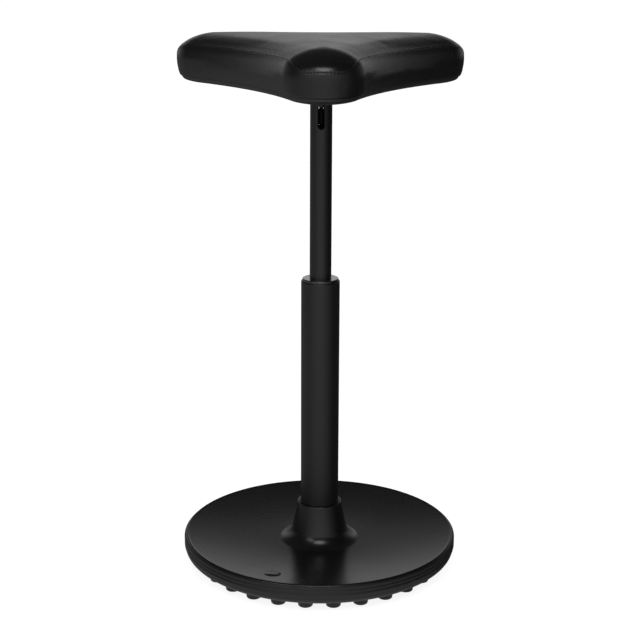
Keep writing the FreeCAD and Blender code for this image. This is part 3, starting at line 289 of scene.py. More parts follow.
@dataclass(frozen=True)
class Leatherette(Finish):
    """Polyurethane leatherette: a knitted backing with an embossed, lacquered skin.

    The embossing roller leaves soft pebbles about a millimetre across, which break the sheen of the
    lacquer into a fine sparkle without hiding its broad reflections, and the thread draws small
    puckers beside the seam.
    """

    pebble: float = 1.1
    pebble_depth: float = 0.035
    pebble_blend: float = 0.6
    wander: float = 0.6
    lacquer_patch: float = 45.0
    pucker_reach: float = 3.5
    pucker_depth: float = 0.1

    def dress(self, surface: Surface) -> None:
        """Add pebbles, puckers beside the seam, and a slightly uneven lacquer.

        Args:
            surface: The material in the making.
        """
        self.pebbles(surface)
        self.puckers(surface)
        self.uneven_gloss(surface, self.lacquer_patch, 0.02, 0.03, 2.0)

    def pebbles(self, surface: Surface) -> None:
        """Press in the roller's pebbles, their grid made to wander.

        Args:
            surface: The material in the making.
        """
        coarse = {"Vector": surface.place, "Scale": per_metre(2 * self.pebble)}
        drift = surface.add("ShaderNodeTexNoise", coarse).outputs["Color"]
        shifted = {0: self.wander * MM, 4: surface.place, 5: drift}
        place = surface.add("ShaderNodeMix", shifted, data_type="VECTOR").outputs[1]
        cells = {"Vector": place, "Scale": per_metre(self.pebble), "Smoothness": self.pebble_blend}
        pebbles = surface.add("ShaderNodeTexVoronoi", cells, feature="SMOOTH_F1")
        surface.emboss(pebbles.outputs["Distance"], self.pebble_depth)

    def puckers(self, surface: Surface) -> None:
        """Fold the skin once for each stitch, less and less away from the seam.

        Args:
            surface: The material in the making.
        """
        along = surface.add("ShaderNodeAttribute", attribute_name="along_seam").outputs["Fac"]
        away = surface.add("ShaderNodeAttribute", attribute_name="seam_distance").outputs["Fac"]
        turn = surface.add("ShaderNodeMath", {0: along, 1: 2 * math.pi / STITCH_GAP}, operation="MULTIPLY")
        wave = surface.add("ShaderNodeMath", {0: turn.outputs[0]}, operation="SINE")
        fading = {"Value": away, "From Min": 0.0, "From Max": self.pucker_reach, "To Min": 1.0, "To Max": 0.0}
        near = surface.add("ShaderNodeMapRange", fading)
        fold = {0: wave.outputs[0], 1: near.outputs[0]}
        folds = surface.add("ShaderNodeMath", fold, operation="MULTIPLY")
        surface.emboss(folds.outputs[0], self.pucker_depth)


@dataclass(frozen=True)
class Moulded(Finish):
    """Injection-moulded plastic: the spark-eroded mould leaves a fine satin grain.

    The grain is far too fine to see one by one; it is drawn at a third of a millimetre so that it
    still softens the edge of a reflection.
    """

    grain: float = 0.35
    grain_depth: float = 0.006
    flow_mark: float = 60.0

    def dress(self, surface: Surface) -> None:
        """Add the mould's grain and faint flow marks in the gloss."""
        surface.grain(self.grain, self.grain_depth)
        self.uneven_gloss(surface, self.flow_mark, 0.015, 0.025, 2.0)


@dataclass(frozen=True)
class Rubber(Finish):
    """Compression-moulded rubber: a dull black with a chalky bloom where it is never touched."""

    bloom: str = "#131314"
    bloom_size: float = 14.0
    grain: float = 0.5
    grain_depth: float = 0.02

    def dress(self, surface: Surface) -> None:
        """Add grain and bloom."""
        surface.grain(self.grain, self.grain_depth)
        surface.tint(surface.clouds(self.bloom_size, 0.0, 1.0), self.colour, self.bloom)


@dataclass(frozen=True)
class PowderCoat(Finish):
    """Powder-coated steel: the baked powder flows into a faint orange peel under a satin gloss."""

    peel: float = 1.6
    peel_depth: float = 0.012
    speck: float = 0.4

    def dress(self, surface: Surface) -> None:
        """Add the orange peel and fine specks."""
        surface.grain(self.peel, self.peel_depth, 2.0)
        self.uneven_gloss(surface, self.speck, 0.02, 0.03, 1.0)


@dataclass(frozen=True)
class Plated(Finish):
    """Zinc-plated steel: cloudy bluish crystals that dull the metal in patches."""

    crystal: float = 2.5

    def dress(self, surface: Surface) -> None:
        """Add the clouds of the plating."""
        self.uneven_gloss(surface, self.crystal, 0.08, 0.1, 3.0)


@dataclass(frozen=True)
class Ground(Finish):
    """Ground steel: the wheel leaves fine rings round the part, which draw highlights out.

    A wheel's real marks lie hundredths of a millimetre apart; they are drawn 2.5 mm apart, so that
    they show at all.
    """

    ring_gap: float = 2.5133
    ring_depth: float = 0.004

    def dress(self, surface: Surface) -> None:
        """Add the rings; a wave at a Scale of 1 repeats every pi / 10.

        Args:
            surface: The material in the making.
        """
        scale = math.pi / 10 * per_metre(self.ring_gap)
        waves = {"Vector": surface.place, "Scale": scale, "Distortion": 0.5}
        rings = surface.add("ShaderNodeTexWave", waves, bands_direction="Z")
        surface.emboss(rings.outputs["Fac"], self.ring_depth)


@dataclass(frozen=True)
class Plywood(Finish):
    """Rotary-cut birch ply: pale face veneer with long wavy grain."""

    grain: float = 6.0
    stretch: float = 0.08
    dark: str = "#a47f52"

    def dress(self, surface: Surface) -> None:
        """Add the veneer's grain, drawn out along the stool's depth.

        Args:
            surface: The material in the making.
        """
        drawn = surface.add("ShaderNodeMapping", {"Vector": surface.place, "Scale": (1.0, self.stretch, 1.0)})
        fibres = {"Vector": drawn.outputs["Vector"], "Scale": per_metre(self.grain), "Detail": 6.0}
        surface.tint(surface.add("ShaderNodeTexNoise", fibres).outputs["Fac"], self.colour, self.dark)


@dataclass(frozen=True)
class Foam(Finish):
    """Cut polyurethane foam: pale open cells that look soft and matt."""

    cell: float = 0.9
    cell_depth: float = 0.2

    def dress(self, surface: Surface) -> None:
        """Add the open cells."""
        cells = {"Vector": surface.place, "Scale": per_metre(self.cell)}
        surface.emboss(surface.add("ShaderNodeTexVoronoi", cells).outputs["Distance"], self.cell_depth)


FINISHES: dict[str, Finish] = {
    # Lacquered black skin: a satin sheen that draws broad soft lights over every curve.
    "leatherette": Leatherette("leatherette_embossed", "#0c0c0d", 0.27),
    # Bare foam: pale, matt and soft.
    "foam": Foam("foam_cut", "#d9d2bd", 0.9),
    # Sanded board: warm and half matt.
    "plywood": Plywood("birch_plywood_veneer", "#c9a673", 0.55),
    # The tray is a shade paler and duller than the seat above it; part of its paleness is painted reflection,
    # standing in for the light floor mirrored in its band under the seat.
    "seat_shell_plastic": Moulded("polypropylene_moulded_shell", "#1f1f20", 0.32),
    # The dish is smooth enough to mirror the column as a soft dark band.
    "base_plastic": Moulded("polypropylene_moulded_dish", "#0d0d0e", 0.27),
    # A textured grip, with no clear reflection.
    "grip_plastic": Moulded("nylon_moulded_grip", "#101011", 0.45),
    # Hard slippery acetal: a small bright light on its collar.
    "bush_plastic": Moulded("acetal_moulded_bush", "#121213", 0.12, coat=1.0),
    # Dull and slightly dusty, the darkest part of the base.
    "sole_rubber": Rubber("rubber_moulded_sole", "#0b0b0c", 0.5),
    "seal_rubber": Rubber("rubber_moulded_seal", "#161617", 0.55),
    # Satin coat: a wide soft streak down the tube.
    "black_tube": PowderCoat("steel_powder_coated_satin", "#0d0d0e", 0.36),
    # Smoother coat, as the bush runs on it: the streak is narrower.
    "black_lift": PowderCoat("steel_powder_coated_smooth", "#0c0c0d", 0.3),
    # Oxide on rolled plate: dark grey metal with little shine.
    "plate_steel": Ground("steel_plate_black_oxide", "#4a4b4d", 0.45, 1.0),
    # Bright metal with lights drawn out round it.
    "ground_steel": Ground("steel_ground", "#b9babc", 0.25, 1.0),
    # Silvery metal, mottled by its plating.
    "zinc_steel": Plated("steel_zinc_plated", "#c3c6c8", 0.35, 1.0),
}
# Painted shade: the parts that show through the tube's slot are coloured near black instead of their own
# bright steel, so that the slot reads as dark.
SLOT_SHADE_BLACK = Plated("steel_painted_slot_shade", "#1b1b1d", 0.4, 1.0)
SLOT_SHADE_NODES = ("release_rod", "valve_pin", "cylinder_head", "head_ring")
# Black twisted thread, duller than the skin it is sewn through.
THREAD = Moulded("polyester_sewing_thread", "#101011", 0.6, grain=0.2, grain_depth=0.03)


class Paint:
    """Makes each finish once and hands it to the pieces."""

    def __init__(self) -> None:
        """Build every finish of the record, the thread, and the near-black painted-shade finish for the parts
        in the tube's slot.
        """
        self.by_slot = {slot: finish.build() for slot, finish in FINISHES.items()}
        self.thread = THREAD.build()
        # Painted shade: a near-black finish for the parts seen through the tube's slot.
        self.slot_shade = SLOT_SHADE_BLACK.build()

    def dress_nodes(self) -> None:
        """Give each CAD node the finish of its own slot; the parts seen through the tube's slot get the
        near-black painted-shade finish instead.
        """
        for subpart in frame["record"]["subparts"]:
            node = frame["nodes"][subpart["node"]]
            own = self.by_slot[subpart["material_slot"]]
            # Parts in the tube's slot take the painted-shade black instead of their own steel.
            finish = self.slot_shade if subpart["node"] in SLOT_SHADE_NODES else own
            for place in node.material_slots:
                place.material = finish


def link(name: str, mesh: bpy.types.Mesh) -> bpy.types.Object:
    """Put a mesh in the scene as an object at the origin.

    Args:
        name: The object's name.
        mesh: Its mesh.

    Returns:
        The new object.
    """
    piece = bpy.data.objects.new(name, mesh)
    bpy.context.scene.collection.objects.link(piece)
    return piece


def solid(name: str, corners: list, faces: list, sharp_angle: float = 35.0) -> bpy.types.Object:
    """Make a smooth-shaded object that stays sharp at its edges.

    Args:
        name: The piece's name.
        corners: Points in metres.
        faces: Corner numbers of each face.
        sharp_angle: Angle in degrees over which an edge stays sharp.

    Returns:
        The new object.
    """
    mesh = bpy.data.meshes.new(name)
    mesh.from_pydata([tuple(corner) for corner in corners], [], faces)
    mesh.validate()
    mesh.shade_smooth()
    mesh.set_sharp_from_angle(angle=math.radians(sharp_angle))
    return link(name, mesh)


def face_outwards(mesh: bpy.types.Mesh) -> None:
    """Merge doubled corners of a closed mesh and turn its faces outwards.

    Args:
        mesh: The mesh to mend.
    """
    loose = bmesh.new()
    loose.from_mesh(mesh)
    bmesh.ops.remove_doubles(loose, verts=loose.verts, dist=MERGE)
    bmesh.ops.recalc_face_normals(loose, faces=loose.faces)
    loose.to_mesh(mesh)
    loose.free()


def finished_mesh(carrier: bpy.types.Object, name: str, sharp_angle: float = 35.0) -> bpy.types.Object:
    """Turn a carrier with live modifiers into a plain piece, and remove the carrier.

    Args:
        carrier: The object with its modifiers.
        name: Name of the piece.
        sharp_angle: Angle in degrees over which an edge stays sharp.

    Returns:
        The plain piece.
    """
    graph = bpy.context.evaluated_depsgraph_get()
    mesh = bpy.data.meshes.new_from_object(carrier.evaluated_get(graph))
    bpy.data.objects.remove(carrier)
    mesh.name = name
    face_outwards(mesh)
    mesh.shade_smooth()
    mesh.set_sharp_from_angle(angle=math.radians(sharp_angle))
    return link(name, mesh)


def hand_over(piece: bpy.types.Object, body: Body, slot: Slot, *nodes: str) -> bpy.types.Object:
    """Let a piece ride on its body and stand for its CAD nodes.

    Args:
        piece: The plain piece.
        body: The body that carries it.
        slot: Not used.
        *nodes: CAD nodes that it replaces.

    Returns:
        The piece.
    """
    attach(piece, body.value)
    if nodes:
        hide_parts(*nodes)
    LOG.info("%s rides on %s: %d faces", piece.name, body.value, len(piece.data.polygons))
    return piece


class Profile:
    """An outline in (radius, height) millimetres, made of straight runs and arcs."""

    def __init__(self, radius: float, height: float, chord: float = 0.6) -> None:
        """Start the outline.

        Args:
            radius: Distance of the first point from the column's axis.
            height: Its height.
            chord: Longest step along an arc.
        """
        self.points = [(radius, height)]
        self.chord = chord

    def line(self, radius: float, height: float) -> "Profile":
        """Go straight to a point."""
        self.points.append((radius, height))
        return self

    def arc(self, radius: float, height: float, bend: float) -> "Profile":
        """Go to a point along the short arc of a circle.

        Args:
            radius: Distance of the end point from the axis.
            height: Its height.
            bend: The circle's radius, above 0 when its centre is on the left of the way.

        Returns:
            The outline itself.
        """
        start = Vector(self.points[-1])
        end = Vector((radius, height))
        chord = end - start
        left = Vector((-chord.y, chord.x)).normalized()
        reach = math.sqrt(bend * bend - chord.length_squared / 4)
        centre = (start + end) / 2 + left * math.copysign(reach, bend)
        first = math.atan2(start.y - centre.y, start.x - centre.x)
        turn = 2 * math.asin(chord.length / (2 * abs(bend))) * math.copysign(1, bend)
        steps = max(4, math.ceil(abs(bend * turn) / self.chord))
        for step in range(1, steps + 1):
            angle = first + turn * step / steps
            x, y = abs(bend) * math.cos(angle), abs(bend) * math.sin(angle)
            self.points.append((centre.x + x, centre.y + y))
        return self


class NodeTool:
    """A Geometry Nodes tree with named inputs, put on a carrier object as a modifier."""

    def __init__(self, name: str, inputs: dict[str, tuple[str, float]]) -> None:
        """Start the tree.

        Args:
            name: Name of the tree.
            inputs: Socket type and value of each named input.
        """
        self.tree = bpy.data.node_groups.new(name, "GeometryNodeTree")
        self.tree.interface.new_socket("Geometry", in_out="INPUT", socket_type="NodeSocketGeometry")
        self.sockets = {}
        self.values = {}
        for label, (kind, value) in inputs.items():
            socket = self.tree.interface.new_socket(label, in_out="INPUT", socket_type=kind)
            self.sockets[label] = socket.identifier
            self.values[label] = value
        self.tree.interface.new_socket("Geometry", in_out="OUTPUT", socket_type="NodeSocketGeometry")
        self.source = self.tree.nodes.new("NodeGroupInput").outputs

    def add(self, kind: str, inputs: dict | None = None, **settings: object) -> bpy.types.Node:
        """Add a node to this tree."""
        return add_node(self.tree, kind, inputs, **settings)

    def finish(self, geometry: bpy.types.NodeSocket, material: bpy.types.Material) -> None:
        """End the tree in Realize Instances and Set Material.

        Args:
            geometry: What the tree has made.
            material: Its finish.
        """
        real = self.add("GeometryNodeRealizeInstances", {0: geometry})
        dressed = self.add("GeometryNodeSetMaterial", {"Geometry": real.outputs[0], "Material": material})
        self.add("NodeGroupOutput", {0: dressed.outputs[0]})

    def run(self, carrier: bpy.types.Object, name: str) -> bpy.types.Object:
        """Put the tree on a carrier and turn the result into a plain piece.

        Args:
            carrier: The object that the tree works on.
            name: Name of the piece.

        Returns:
            The plain piece.
        """
        modifier = carrier.modifiers.new(self.tree.name, "NODES")
        modifier.node_group = self.tree
        for label, identifier in self.sockets.items():
            modifier[identifier] = self.values[label]
        return finished_mesh(carrier, name)


def lathe(name: str, profile: Profile, segments: int, material: bpy.types.Material) -> bpy.types.Object:
    """Turn a closed profile round the column's axis with Geometry Nodes.

    Args:
        name: Name of the piece.
        profile: The closed outline.
        segments: Steps round the axis.
        material: The piece's finish.

    Returns:
        The turned piece.
    """
    sizes = {"Rail radius": ("NodeSocketFloat", RAIL), "Segments": ("NodeSocketInt", segments)}
    tool = NodeTool(name + "_lathe", sizes)
    outline = tool.add("GeometryNodeMeshToCurve", {0: tool.source["Geometry"]})
    rail = tool.add(
        "GeometryNodeCurvePrimitiveCircle",
        {"Resolution": tool.source["Segments"], "Radius": tool.source["Rail radius"]},
    )
    level = tool.add("GeometryNodeSetCurveNormal", {0: rail.outputs[0]}, mode="Z_UP")
    skin = tool.add("GeometryNodeCurveToMesh", {0: level.outputs[0], 1: outline.outputs[0]})
    tool.finish(skin.outputs[0], material)
    mesh = bpy.data.meshes.new(name + "_outline")
    count = len(profile.points)
    corners = [(radius * MM - RAIL, -height * MM, 0.0) for radius, height in profile.points]
    mesh.from_pydata(corners, [(step, (step + 1) % count) for step in range(count)], [])
    return tool.run(link(name + "_outline", mesh), name)


@dataclass
class Base:
    """The round base: rubber sole with ridges and nubs, and the dish cover with its bell."""

    sole_floor: float = 10.0
    sole_floor_t: float = 3.0
    sole_hole_r: float = 22.0
    flat_r: float = 168.4
    skirt_top: float = 21.4
    skirt_bend: float = 11.9
    valley_r: float = 180.3
    ridge_pitch: float = 4.8
    ridge_bend: float = 3.5
    ridges: int = 3
    lip_w: float = 6.3
    wall_r: float = 166.85
    nub_r: float = 9.4
    nub_flare: float = 1.3
    nub_ring_r: float = 156.2
    nub_count: int = 28
    nub_round: float = 2.2
    nub_turn: float = -0.6
    cover_t: float = 3.0
    cover_rim_r: float = 179.6
    cover_step: float = 4.2
    spigot_gap: float = 0.05
    rib_gap: float = 0.15
    rib_step: float = 0.2
    crest_w: float = 4.2
    crest_rise: float = 1.4
    crest_bend: float = 2.5
    plate_top: float = 21.0
    dish_low: tuple[float, float] = (52.0, 26.6)
    dish_bend: float = 760.0
    flare_bend: float = 22.0
    bell_low: tuple[float, float] = (36.9, 40.7)
    bell_bend: float = 320.0
    bell_top_r: float = 29.4
    bell_top: float = 79.3
    bell_lip: float = 2.0
    mouth_r: float = 25.3
    socket_clear_r: float = 27.3
    gate_r: float = 11.0
    gate_rise: float = 0.35
    gate_edge: float = 0.4
    gate_sunk: float = 0.5
    gate_side: float = 0.1
    gate_spot: tuple[float, float] = (-61.0, -133.0)
    segments: int = 288
    small_segments: tuple[int, int] = (64, 40)

    @property
    def ridge_top(self) -> float:
        """Height of the sole's rim."""
        return self.skirt_top + self.ridges * self.ridge_pitch

    def sole_profile(self) -> Profile:
        """Draw the sole without its nubs.

        Returns:
            Its closed outline, anticlockwise.
        """
        seat = self.sole_floor + self.sole_floor_t
        step_z = self.ridge_top - self.cover_step
        outline = Profile(self.sole_hole_r, self.sole_floor, chord=0.8)
        outline.line(self.flat_r, self.sole_floor)
        outline.arc(self.valley_r, self.skirt_top, self.skirt_bend)
        for ridge in range(1, self.ridges + 1):
            outline.arc(self.valley_r, self.skirt_top + ridge * self.ridge_pitch, self.ridge_bend)
        outline.line(self.valley_r - self.lip_w, self.ridge_top)
        outline.line(self.valley_r - self.lip_w, step_z)
        outline.line(self.wall_r, step_z)
        outline.line(self.wall_r, seat)
        outline.line(self.sole_hole_r, seat)
        return outline

    def cover_profile(self) -> Profile:
        """Draw the dish cover from the bell's mouth, over its top face and back below.

        Returns:
            Its closed outline, clockwise.
        """
        wall = self.cover_t
        under = self.ridge_top - self.cover_step
        spigot_r = self.valley_r - self.lip_w - self.spigot_gap
        rib_r = self.wall_r - self.rib_gap
        outline = Profile(self.mouth_r, self.bell_top, chord=1.2)
        outline.line(self.bell_top_r - self.bell_lip, self.bell_top)
        outline.arc(self.bell_top_r, self.bell_top - self.bell_lip, -self.bell_lip)
        outline.arc(*self.bell_low, self.bell_bend)
        outline.arc(*self.dish_low, self.flare_bend)
        outline.arc(self.cover_rim_r - self.crest_w, self.ridge_top + self.crest_rise, self.dish_bend)
        outline.arc(self.cover_rim_r, self.ridge_top, -self.crest_bend)
        outline.line(spigot_r, self.ridge_top)
        outline.line(spigot_r, under)
        outline.line(rib_r, under)
        outline.line(rib_r, self.plate_top)
        outline.line(rib_r - wall, self.plate_top)
        outline.line(rib_r - wall, under - self.rib_step)
        outline.arc(self.dish_low[0], self.dish_low[1] - wall, -(self.dish_bend + wall))
        outline.arc(self.bell_low[0] - wall, self.bell_low[1], -(self.flare_bend + wall))
        outline.line(self.socket_clear_r, self.bell_top - 4 * wall)
        outline.line(self.socket_clear_r, self.bell_top - wall)
        outline.line(self.mouth_r, self.bell_top - wall)
        return outline

    def build(self, paint: Paint) -> None:
        """Make the sole, its nubs, the dish cover and the disc on it.

        Args:
            paint: The finishes.
        """
        rubber = paint.by_slot[Slot.SOLE_RUBBER.value]
        sole = lathe("sole_skirt", self.sole_profile(), self.segments, rubber)
        hand_over(sole, Body.STAND, Slot.SOLE_RUBBER, "sole")
        hand_over(self.nubs(rubber), Body.STAND, Slot.SOLE_RUBBER)
        plastic = paint.by_slot[Slot.BASE_PLASTIC.value]
        cover = lathe("dish_and_bell", self.cover_profile(), self.segments, plastic)
        hand_over(cover, Body.STAND, Slot.BASE_PLASTIC, "dish_cover")
        hand_over(self.gate_mark(plastic), Body.STAND, Slot.BASE_PLASTIC)

    def dish_height(self, radius: float) -> float:
        """Find how high the dish's top face lies.

        Args:
            radius: Distance from the column's axis in millimetres.

        Returns:
            Height in millimetres.
        """
        points = [point for point in self.cover_profile().points if point[1] >= self.dish_low[1]]
        outer = [point for point in points if point[0] >= self.dish_low[0]]
        radii, heights = zip(*outer[:outer.index(max(outer))])
        return float(np.interp(radius, radii, heights))

    def gate_mark(self, plastic: bpy.types.Material) -> bpy.types.Object:
        """The low plain disc that the mould's gate leaves on the dish.

        Args:
            plastic: The dish's finish.

        Returns:
            The disc, bent to the dish.
        """
        edge = [(0.0, -self.gate_sunk), (self.gate_r, -self.gate_sunk), (self.gate_r, self.gate_side)]
        edge.append((self.gate_r - self.gate_edge, self.gate_rise))
        corners, faces = spun(edge, self.small_segments[0])
        grounded = []
        for x, y, z in corners:
            x, y = x + self.gate_spot[0] * MM, y + self.gate_spot[1] * MM
            grounded.append((x, y, z + self.dish_height(math.hypot(x, y) / MM) * MM))
        disc = solid("dish_gate_disc", grounded, faces)
        face_outwards(disc.data)
        disc.data.materials.append(plastic)
        return disc

    def nubs(self, rubber: bpy.types.Material) -> bpy.types.Object:
        """Set the nubs in a ring under the sole.

        Args:
            rubber: Their finish.

        Returns:
            All the nubs as one piece.
        """
        turn = math.pi / self.nub_count + math.radians(self.nub_turn)
        sizes = {
            "Ring radius": ("NodeSocketFloat", self.nub_ring_r * MM),
            "Count": ("NodeSocketInt", self.nub_count),
            "Turn": ("NodeSocketFloat", turn),
        }
        tool = NodeTool("nub_ring", sizes)
        around = {"Vertices": tool.source["Count"], "Radius": tool.source["Ring radius"]}
        ring = tool.add("GeometryNodeMeshCircle", around)
        spin = tool.add("ShaderNodeCombineXYZ", {"Z": tool.source["Turn"]})
        turned = tool.add("GeometryNodeTransform", {"Geometry": ring.outputs[0], "Rotation": spin.outputs[0]})
        set_down = {"Points": turned.outputs[0], "Instance": tool.source["Geometry"]}
        spots = tool.add("GeometryNodeInstanceOnPoints", set_down)
        tool.finish(spots.outputs[0], rubber)
        return tool.run(self.one_nub(), "sole_nubs")

    def one_nub(self) -> bpy.types.Object:
        """Make one nub, a short stud with a rounded foot.

        Returns:
            The nub on the column's axis.
        """
        top = self.sole_floor + self.sole_floor_t / 2
        outline = Profile(0.0, 0.0).line(self.nub_r - self.nub_round, 0.0)
        outline.arc(self.nub_r, self.nub_round, self.nub_round)
        outline.line(self.nub_r + self.nub_flare, self.sole_floor).line(self.nub_r + self.nub_flare, top)
        corners, faces = spun(outline.points, self.small_segments[1])
        return solid("nub", corners, faces)


def spun(points: list[tuple[float, float]], segments: int) -> tuple[list, list]:
    """Turn an open outline that starts on the axis, and close its end with a flat face.

    Args:
        points: The outline in millimetres; only its first point is on the axis.
        segments: Steps round the axis.

    Returns:
        Corners in metres, and faces that point outwards when the outline goes up its right side.
    """
    corners = [(0.0, 0.0, points[0][1] * MM)]
    for radius, height in points[1:]:
        for step in range(segments):
            turn = 2 * math.pi * step / segments
            corners.append((radius * MM * math.cos(turn), radius * MM * math.sin(turn), height * MM))
    faces = []
    for step in range(segments):
        after = (step + 1) % segments
        faces.append((0, 1 + after, 1 + step))
        for row in range(len(points) - 2):
            low = 1 + row * segments
            high = low + segments
            faces.append((low + step, low + after, high + after, high + step))
    last = 1 + (len(points) - 2) * segments
    faces.append(tuple(last + step for step in range(segments)))
    return corners, faces


@dataclass
class Seat:
    """The padded seat: a three-lobed cushion with a sewn top panel.

    The cushion is a grid of rings. Each ring point keeps its place along the outline, and its rows
    run from the fold under the board, up the side, through the seam and over the crown.
    """

    lobe_tip: float = 206.0
    lobe_bend: float = 50.0
    waist: float = 113.0
    foot: float = 636.0
    board_foot: float = 637.3
    seam_low: float = 665.5
    seam_high: float = 677.0
    seam_flat: float = 20.0
    seam_steep: float = 50.0
    fold: float = 16.0
    dome: float = 3.9
    groove_depth: float = 0.5
    groove_reach: float = 2.6
    groove_lip: float = 0.3
    swell_cap: float = 2.0
    proxy_voxel: float = 6.0
    pressure: float = 4.0
    frames: int = 20
    held_height: float = 3.0
    still_height: float = 2.0
    still_fade: float = 8.0
    neighbours: int = 8
    smoothing: int = 6
    arc_steps: int = 112
    side_rows: int = 24
    crown_rows: int = 26
    flat_rows: int = 14
    stitch_len: float = 2.7
    thread_r: float = 0.36
    profile: tuple[tuple[float, float], ...] = (
        (5.4, 636.0), (4.6, 636.3), (3.6, 637.4), (2.6, 639.4), (1.3, 643.0), (0.4, 647.0),
        (-0.4, 652.0), (-0.8, 658.0), (-0.3, 664.0), (1.45, 670.0), (4.6, 674.2), (9.7, 677.9),
        (16.5, 681.8), (25.8, 685.4), (35.0, 687.8), (44.0, 689.1),
    )

    @property
    def lobe_centre(self) -> float:
        """Distance from the column's axis to the centre of a lobe's round end."""
        return self.lobe_tip - self.lobe_bend

    @property
    def hollow(self) -> float:
        """Find the radius of the hollow sides between the lobes.

        Returns:
            The radius at which they run into the round ends without a kink.
        """
        gap = self.waist - self.lobe_centre * math.cos(LOBE_STEP / 2)
        reach = self.lobe_centre * math.sin(LOBE_STEP / 2)
        return (gap * gap + reach * reach - self.lobe_bend ** 2) / (2 * (self.lobe_bend - gap))

    def outline(self, steps: int) -> tuple[np.ndarray, np.ndarray, np.ndarray]:
        """The three-lobed outline, anticlockwise from the nose.

        Args:
            steps: Points along each arc.

        Returns:
            Places in millimetres, outward directions, and each place's distance from the axis of
            its lobe.
        """
        lobe = self.lobe_centre
        far = self.waist + self.hollow
        sweep = math.atan2(far * math.sin(LOBE_STEP / 2), far * math.cos(LOBE_STEP / 2) - lobe)
        side = math.asin(lobe * math.sin(LOBE_STEP / 2) / (self.hollow + self.lobe_bend))
        share = 2 * np.arange(steps) / steps - 1
        places, ways = [], []
        for turn in (NOSE_TURN + step * LOBE_STEP for step in range(LOBES)):
            angle = turn + sweep * share
            way = np.column_stack([np.cos(angle), np.sin(angle)])
            places.append(lobe * np.array([math.cos(turn), math.sin(turn)]) + self.lobe_bend * way)
            ways.append(way)
            middle = turn + LOBE_STEP / 2
            angle = middle + math.pi - side * share
            way = -np.column_stack([np.cos(angle), np.sin(angle)])
            places.append(far * np.array([math.cos(middle), math.sin(middle)]) - self.hollow * way)
            ways.append(way)
        place, way = np.vstack(places), np.vstack(ways)
        across = []
        for turn in (NOSE_TURN + step * LOBE_STEP for step in range(LOBES)):
            sideways = np.abs(place @ np.array([-math.sin(turn), math.cos(turn)]))
            ahead = place @ np.array([math.cos(turn), math.sin(turn)])
            across.append(np.where(ahead > 0, sideways, np.inf))
        return place, way, np.min(across, axis=0)

    def grid(self, steps: int, side_rows: int, crown_rows: int) -> np.ndarray:
        """All rings of the cushion, from the fold under the board to the middle of the top.

        Args:
            steps: Points along each arc of the outline.
            side_rows: Rings from the lower edge to the seam.
            crown_rows: Rings from the seam to the flat top.

        Returns:
            Points in millimetres: ring, point on the ring, and X, Y, Z.
        """
        place, way, across = self.outline(steps)
        curve = np.array(smooth_rows(self.profile, 12))
        length = np.concatenate([[0.0], np.cumsum(np.linalg.norm(np.diff(curve, axis=0), axis=1))])
        rise = np.clip((across - self.seam_flat) / (self.seam_steep - self.seam_flat), 0, 1)
        seam_z = self.seam_low + (self.seam_high - self.seam_low) * rise * rise * (3 - 2 * rise)
        seam = np.interp(seam_z, curve[:, 1], length)
        rows = [seam * share for share in np.linspace(0, 1, side_rows + 1)]
        rows += [seam + (length[-1] - seam) * share for share in np.linspace(0, 1, crown_rows + 1)[1:]]
        rings = [
            self.ring(place, way, np.full(len(place), self.fold), self.board_foot),
            self.ring(place, way, np.full(len(place), self.fold), self.foot),
            self.ring(place, way, np.full(len(place), self.fold / 2), self.foot),
        ]
        for row in rows:
            inset, height = (np.interp(row, length, curve[:, side]) for side in (0, 1))
            rings.append(self.ring(place, way, inset, height))
        edge = rings[-1]
        for step in range(1, self.flat_rows):
            share = step / self.flat_rows
            flat = edge.copy()
            flat[:, :2] *= 1 - share
            flat[:, 2] += self.dome * (1 - (1 - share) ** 2)
            rings.append(flat)
        return np.array(rings)

    def ring(
        self, place: np.ndarray, way: np.ndarray, inset: np.ndarray, height: np.ndarray | float
    ) -> np.ndarray:
        """Draw the outline in by an inset, at a height."""
        flat = place - way * inset[:, None]
        return np.column_stack([flat, np.broadcast_to(height, len(place))])

    def cushion_mesh(self, grid: np.ndarray, name: str) -> bpy.types.Object:
        """Skin the rings, with the middle of the top and of the underside closed.

        Args:
            grid: The rings in millimetres.
            name: Name of the object.

        Returns:
            The closed object.
        """
        rings, points, _ = grid.shape
        top = grid[-1].mean(axis=0)
        foot = grid[0].mean(axis=0)
        corners = np.vstack([grid.reshape(-1, 3), top, foot]) * MM
        numbers = np.arange(rings * points).reshape(rings, points)
        ahead = np.roll(numbers, -1, axis=1)
        faces = np.stack([numbers[:-1], ahead[:-1], ahead[1:], numbers[1:]], axis=-1).reshape(-1, 4).tolist()
        faces += [(a, b, rings * points) for a, b in zip(numbers[-1].tolist(), ahead[-1].tolist())]
        faces += [(b, a, rings * points + 1) for a, b in zip(numbers[0].tolist(), ahead[0].tolist())]
        return solid(name, corners.tolist(), faces, 60.0)

